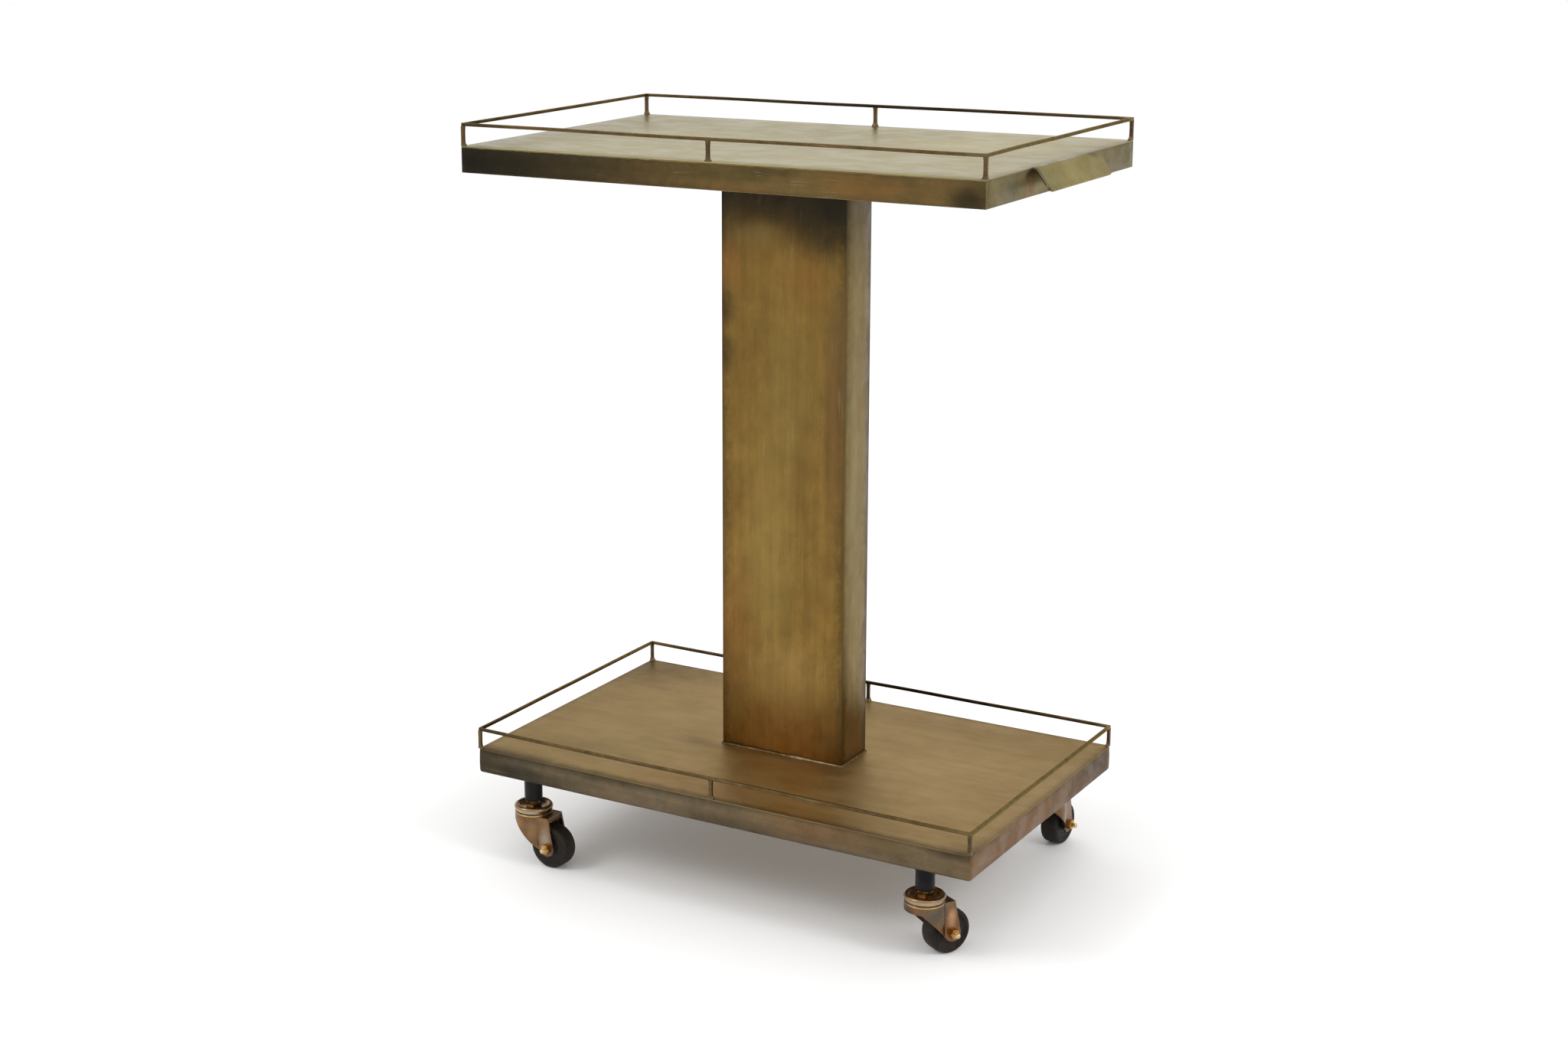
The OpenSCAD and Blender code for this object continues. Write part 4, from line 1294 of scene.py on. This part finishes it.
# %% Sleeves and cups
sleeve_low, sleeve_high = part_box("caster_sleeves")
locknut_low, locknut_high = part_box("caster_locknuts")
stem_far = max(place.translation.x for place in stem_frame.values())
STEM_R = 5.0 * MM
SLEEVE_R = sleeve_high.x - stem_far
CUP_R = cup_high.x - stem_far
BEAD_R = 3.2 * MM
CUP_SHEET = 1.2 * MM
cup_floor = locknut_low.z
roof = cup_floor - CUP_SHEET
bead_z = cup_high.z - BEAD_R
bead_arc = [
    (CUP_R - BEAD_R + BEAD_R * math.cos(angle), bead_z + BEAD_R * math.sin(angle))
    for angle in (math.radians(-46 + 192 * i / 16) for i in range(17))
]
sleeve_section = filleted(
    [(STEM_R + 0.1 * MM, sleeve_low.z), (SLEEVE_R, sleeve_low.z), (SLEEVE_R, sleeve_high.z),
     (STEM_R + 0.1 * MM, sleeve_high.z)],
    [0, 0.9 * MM, 0.6 * MM, 0], 4)
WALL_R = CUP_R - 1.0 * MM
cup_section = [
    (STEM_R, roof),
    (WALL_R - 2.6 * MM, roof),
    (WALL_R - CUP_SHEET, roof - 0.8 * MM),
    (WALL_R - CUP_SHEET, cup_low.z),
    (WALL_R, cup_low.z),
]
cup_section += bead_arc
cup_section += [
    (CUP_R - 2.15 * BEAD_R, bead_z + 1.2 * MM),
    (CUP_R - 2.7 * BEAD_R, cup_floor + 0.9 * MM),
    (CUP_R - 3.4 * BEAD_R, cup_floor + 0.4 * MM),
    (STEM_R, cup_floor),
]
stems = list(stem_frame.values())
add_spun("sleeve_set", sleeve_section, stems, 72, sleeve_finish, "cart",
         "caster_sleeves", 35)
add_spun("cup_set", cup_section, stems, 96, cup_finish, "cart", "caster_cups", 50)
print("cups", round(cup_low.z * 1000, 1), "to", round(cup_high.z * 1000, 1), "mm")

# %% [markdown]
# ## The fork
# A press folds one sheet into a round crown and two tapering legs, so every outer corner is a bend
# and not a sharp edge. The engineered solid already has the exact outline. We weld its facets back
# into clean faces, mark which edges are bends and which are only sheared, and let a weighted bevel
# round each by its own amount.

# %% Forks and other pieces taken from their solids


def solid_copy(node):
    """A bmesh of a CAD node with its flat faces joined again."""
    shape = bmesh.new()
    shape.from_mesh(frame["nodes"][node].data)
    bmesh.ops.remove_doubles(shape, verts=shape.verts[:], dist=2e-6)
    bmesh.ops.dissolve_limit(shape, angle_limit=math.radians(1), verts=shape.verts[:], edges=shape.edges[:])
    return shape


def weigh_edges(shape, weight_of):
    """Gives each sharp edge a bevel weight from the function weight_of(edge)."""
    layer = shape.edges.layers.float.new("bevel_weight_edge")
    for edge in shape.edges:
        if len(edge.link_faces) == 2 and edge.calc_face_angle(0) > math.radians(25):
            edge[layer] = weight_of(edge)


def add_bevel(piece, width, segments):
    bend = piece.modifiers.new("bend", "BEVEL")
    bend.limit_method = "WEIGHT"
    bend.width = width
    bend.segments = segments
    bend.use_clamp_overlap = True
    bend.harden_normals = True


BEND_R = 1.9 * MM
SHEARED = 0.16
CROWN_R = -min(p.x for p in local_points("fork"))
LEG_OUT = 14.5 * MM
LIP_X = 28 * MM
RING_R = CROWN_R - 0.5 * MM
RING_POINTS = (  # reach past RING_R, height above the race and corner radius, in millimetres
    (-1.3, -0.1, 0), (0.35, -0.1, 0.3), (0.35, 1.2, 0.5), (-0.35, 1.5, 0.1), (-0.35, 1.8, 0.1),
    (0.25, 2.0, 0.3), (0.25, 3.1, 0.4), (-1.3, 3.1, 0),
)
ring_section = filleted([(RING_R + x * MM, race_z + z * MM) for x, z, _ in RING_POINTS],
                        [radius * MM for _, _, radius in RING_POINTS], 3)
for corner in corners:
    body = "swivel_" + corner
    node = "fork_" + corner
    shape = solid_copy(node)
    to_local = caster_frame[corner].inverted()

    def bend_weight(edge):
        """Bends: the outer rim of the crown and the outer top edges of the legs."""
        ends = [to_local @ v.co for v in edge.verts]
        at_top = all(abs(p.z - race_z) < 0.05 * MM for p in ends)
        outer = all(
            abs(p.y) > LEG_OUT - 0.5 * MM or p.xy.length > CROWN_R - 0.2 * MM or p.x > LIP_X for p in ends)
        return 1.0 if at_top and outer else SHEARED

    weigh_edges(shape, bend_weight)
    fork = add_piece("fork_pressing_" + corner, shape, fork_finish, body, [node], 30)
    add_bevel(fork, BEND_R, 4)
    add_spun("race_ring_" + corner, ring_section, [stem_frame[corner]], 96, ring_finish, body,
             node, 40)
print("forks bend at a radius of", BEND_R / MM, "mm")

# %% [markdown]
# ## Nuts and bolts
# A nut's corners are turned away by a cone, which leaves the curved arris that makes a nut look like
# a nut. Around the circle the radius is that of a hexagon, limited by the cone near each face. The
# bolt's end is a rounded tip with a few turns of thread.

# %% Axle bolts and nuts
AXLE_R = 3.0 * MM
NUT_R = 0.96 * 2 * AXLE_R
THREAD = 1.0 * MM
TIP = 2.2 * MM


def add_hex(shape, matrix, low, high, radius, bore, cone_high=True):
    """A hexagon block with coned ends and a bore, about local Z."""
    flat = radius * math.cos(math.pi / 6)
    corner_cut = radius - flat
    drop = corner_cut * 0.58
    cone = ((0.0, flat - 0.2 * MM), (drop * 0.5, flat + corner_cut * 0.45), (drop, radius))
    levels = [(low + up, limit) for up, limit in cone]
    levels += [(high - down, limit) for down, limit in reversed(cone)] if cone_high else [(high, radius)]
    rings = []
    for k in range(72):
        turn = 2 * math.pi * k / 72
        side = flat / math.cos(turn % (math.pi / 3) - math.pi / 6)
        ring = [(min(side, limit), z) for z, limit in levels]
        ring += [(bore + 0.25 * MM, high), (bore, high - 0.3 * MM)]
        ring += [(bore, low + 0.3 * MM), (bore + 0.25 * MM, low)]
        rings.append([
            shape.verts.new(matrix @ Vector((r * math.cos(turn), r * math.sin(turn), z))) for r, z in ring])
    bridge(shape, rings, closed=True)


def threaded_end(start, end, radius):
    """Section points for a stretch of thread, from start to end."""
    turns = int((end - start) / THREAD)
    points = []
    for i in range(turns):
        z = start + THREAD * i
        points += [(radius, z + 0.12 * THREAD), (radius, z + 0.38 * THREAD),
                   (radius - 0.45 * MM, z + 0.62 * THREAD), (radius - 0.45 * MM, z + 0.88 * THREAD)]
    return points


locknuts = bmesh.new()
for corner in corners:
    add_hex(locknuts, stem_frame[corner], locknut_low.z, locknut_high.z, 0.96 * 2 * STEM_R, STEM_R)
add_piece("locknut_set", locknuts, locknut_finish, "cart", ["caster_locknuts"], 28)
nut_far = -min(p.y for p in local_points("axle_nut"))
nut_near = -max(p.y for p in local_points("axle_nut"))
bolt_tip = -min(p.y for p in local_points("axle_bolt"))
bolt_head = -max(p.y for p in local_points("axle_bolt"))
for corner in corners:
    body = "swivel_" + corner
    nut = bmesh.new()
    add_hex(nut, axle_frame[corner], nut_near, nut_far, NUT_R, AXLE_R)
    add_piece("axle_nut_" + corner + "_hex", nut, gold_finish, body, ["axle_nut_" + corner], 28)
    bolt = bmesh.new()
    add_hex(bolt, axle_frame[corner], bolt_head, -nut_near, NUT_R, 1.0 * MM, cone_high=False)
    tip_start = bolt_tip - TIP
    section = [(0.0, bolt_head + 0.8 * MM), (AXLE_R - 0.02 * MM, bolt_head + 0.8 * MM)]
    section += threaded_end(nut_near - 1.0 * MM, tip_start, AXLE_R - 0.03 * MM)
    section += [
        (AXLE_R * math.cos(a) * 0.98, tip_start + TIP * math.sin(a))
        for a in (math.pi / 2 * k / 6 for k in range(7))
    ]
    spin(bolt, section, axle_frame[corner], 40)
    add_piece("axle_bolt_" + corner + "_pin", bolt, bolt_finish, body,
              ["axle_bolt_" + corner], 35)
print("nuts", round((nut_far - nut_near) * 1000, 1), "mm thick")

# %% [markdown]
# ## The wheels
# A rubber tyre moulded on a hard core. Two shallow ridges run round each face, and the tread is
# slightly crowned. All of it comes from one section per piece, spun about the axle.

# %% Wheels
# Each row is a radius, a height from the middle and a corner radius, in millimetres.
TYRE_HALF_ROWS = (
    (15.0, 9.2, 0), (18.6, 9.4, 0.4), (19.4, 10.4, 0.35), (20.4, 10.4, 0.35), (20.9, 9.9, 0.3),
    (22.2, 10.0, 0.6), (23.6, 9.5, 2.0), (24.75, 7.3, 2.4), (25.0, 2.5, 2.0),
)
HUB_HALF_ROWS = (
    (4.05, 11.5, 0.3), (7.0, 11.5, 0.6), (7.4, 8.3, 0.7), (12.6, 8.5, 0.7), (13.2, 9.3, 0.3),
    (15.0, 9.3, 0.2),
)


def mirrored_section(rows, steps):
    """A closed section from a half one, mirrored to the wheel's other face."""
    rows = list(rows) + [(r, -z, corner) for r, z, corner in reversed(rows)]
    return filleted([(r * MM, z * MM) for r, z, _ in rows], [corner * MM for _, _, corner in rows], steps)


tyre_section = mirrored_section(TYRE_HALF_ROWS, 4)
hub_section = mirrored_section(HUB_HALF_ROWS, 3)
for corner in corners:
    place, body = [axle_frame[corner]], "wheel_" + corner
    add_spun("tyre_rubber_" + corner, tyre_section, place, 96, tyre_finish, body,
             "tyre_" + corner, 32)
    add_spun("wheel_core_" + corner, hub_section, place, 64, hub_finish, body,
             "wheel_hub_" + corner, 32)
print("wheels", TYRE_HALF_ROWS[-1][0] * 2, "mm across")

# %% [markdown]
# ## Hidden parts
# The tubes, the flange and the fasteners are seen only from below. They keep their engineered shapes,
# with a small bevel so that their edges aren't razor sharp, a plain steel finish on the tubes and the
# flange, and the gold passivate on the fasteners.

# %% Frame and fasteners
HIDDEN = {
    "top_tubes": ("top_tube_pair", steel_finish, "frame_steel", 0.9 * MM),
    "lower_cross_tubes": ("cross_tube_pair", steel_finish, "frame_steel", 0.9 * MM),
    "lower_spine_tube": ("spine_tube", steel_finish, "frame_steel", 0.9 * MM),
    "column_flange": ("flange_plate", steel_finish, "frame_steel", 0.5 * MM),
    "column_bolts": ("flange_bolts", gold_finish, "fastener_steel", 0.35 * MM),
    "column_nuts": ("flange_nuts", gold_finish, "fastener_steel", 0.35 * MM),
    "caster_stems": ("stem_set", gold_finish, "fastener_steel", 0.4 * MM),
    "caster_nuts": ("stem_nuts", gold_finish, "fastener_steel", 0.5 * MM),
    "caster_washers": ("stem_washers", gold_finish, "fastener_steel", 0.25 * MM),
}
for node, (name, finish, slot, width) in HIDDEN.items():
    shape = solid_copy(node)
    weigh_edges(shape, lambda edge: 1.0)
    piece = add_piece(name, shape, finish, "cart", [node], 30)
    add_bevel(piece, width, 2)

for corner in corners:
    for node, finish in (("swivel_balls_", bright_finish), ("axle_bush_", steel_finish)):
        cad = frame["nodes"][node + corner]
        cad.data.materials.clear()
        cad.data.materials.append(finish)
        cad.data.polygons.foreach_set("material_index", [0] * len(cad.data.polygons))
print("hidden parts", len(HIDDEN))
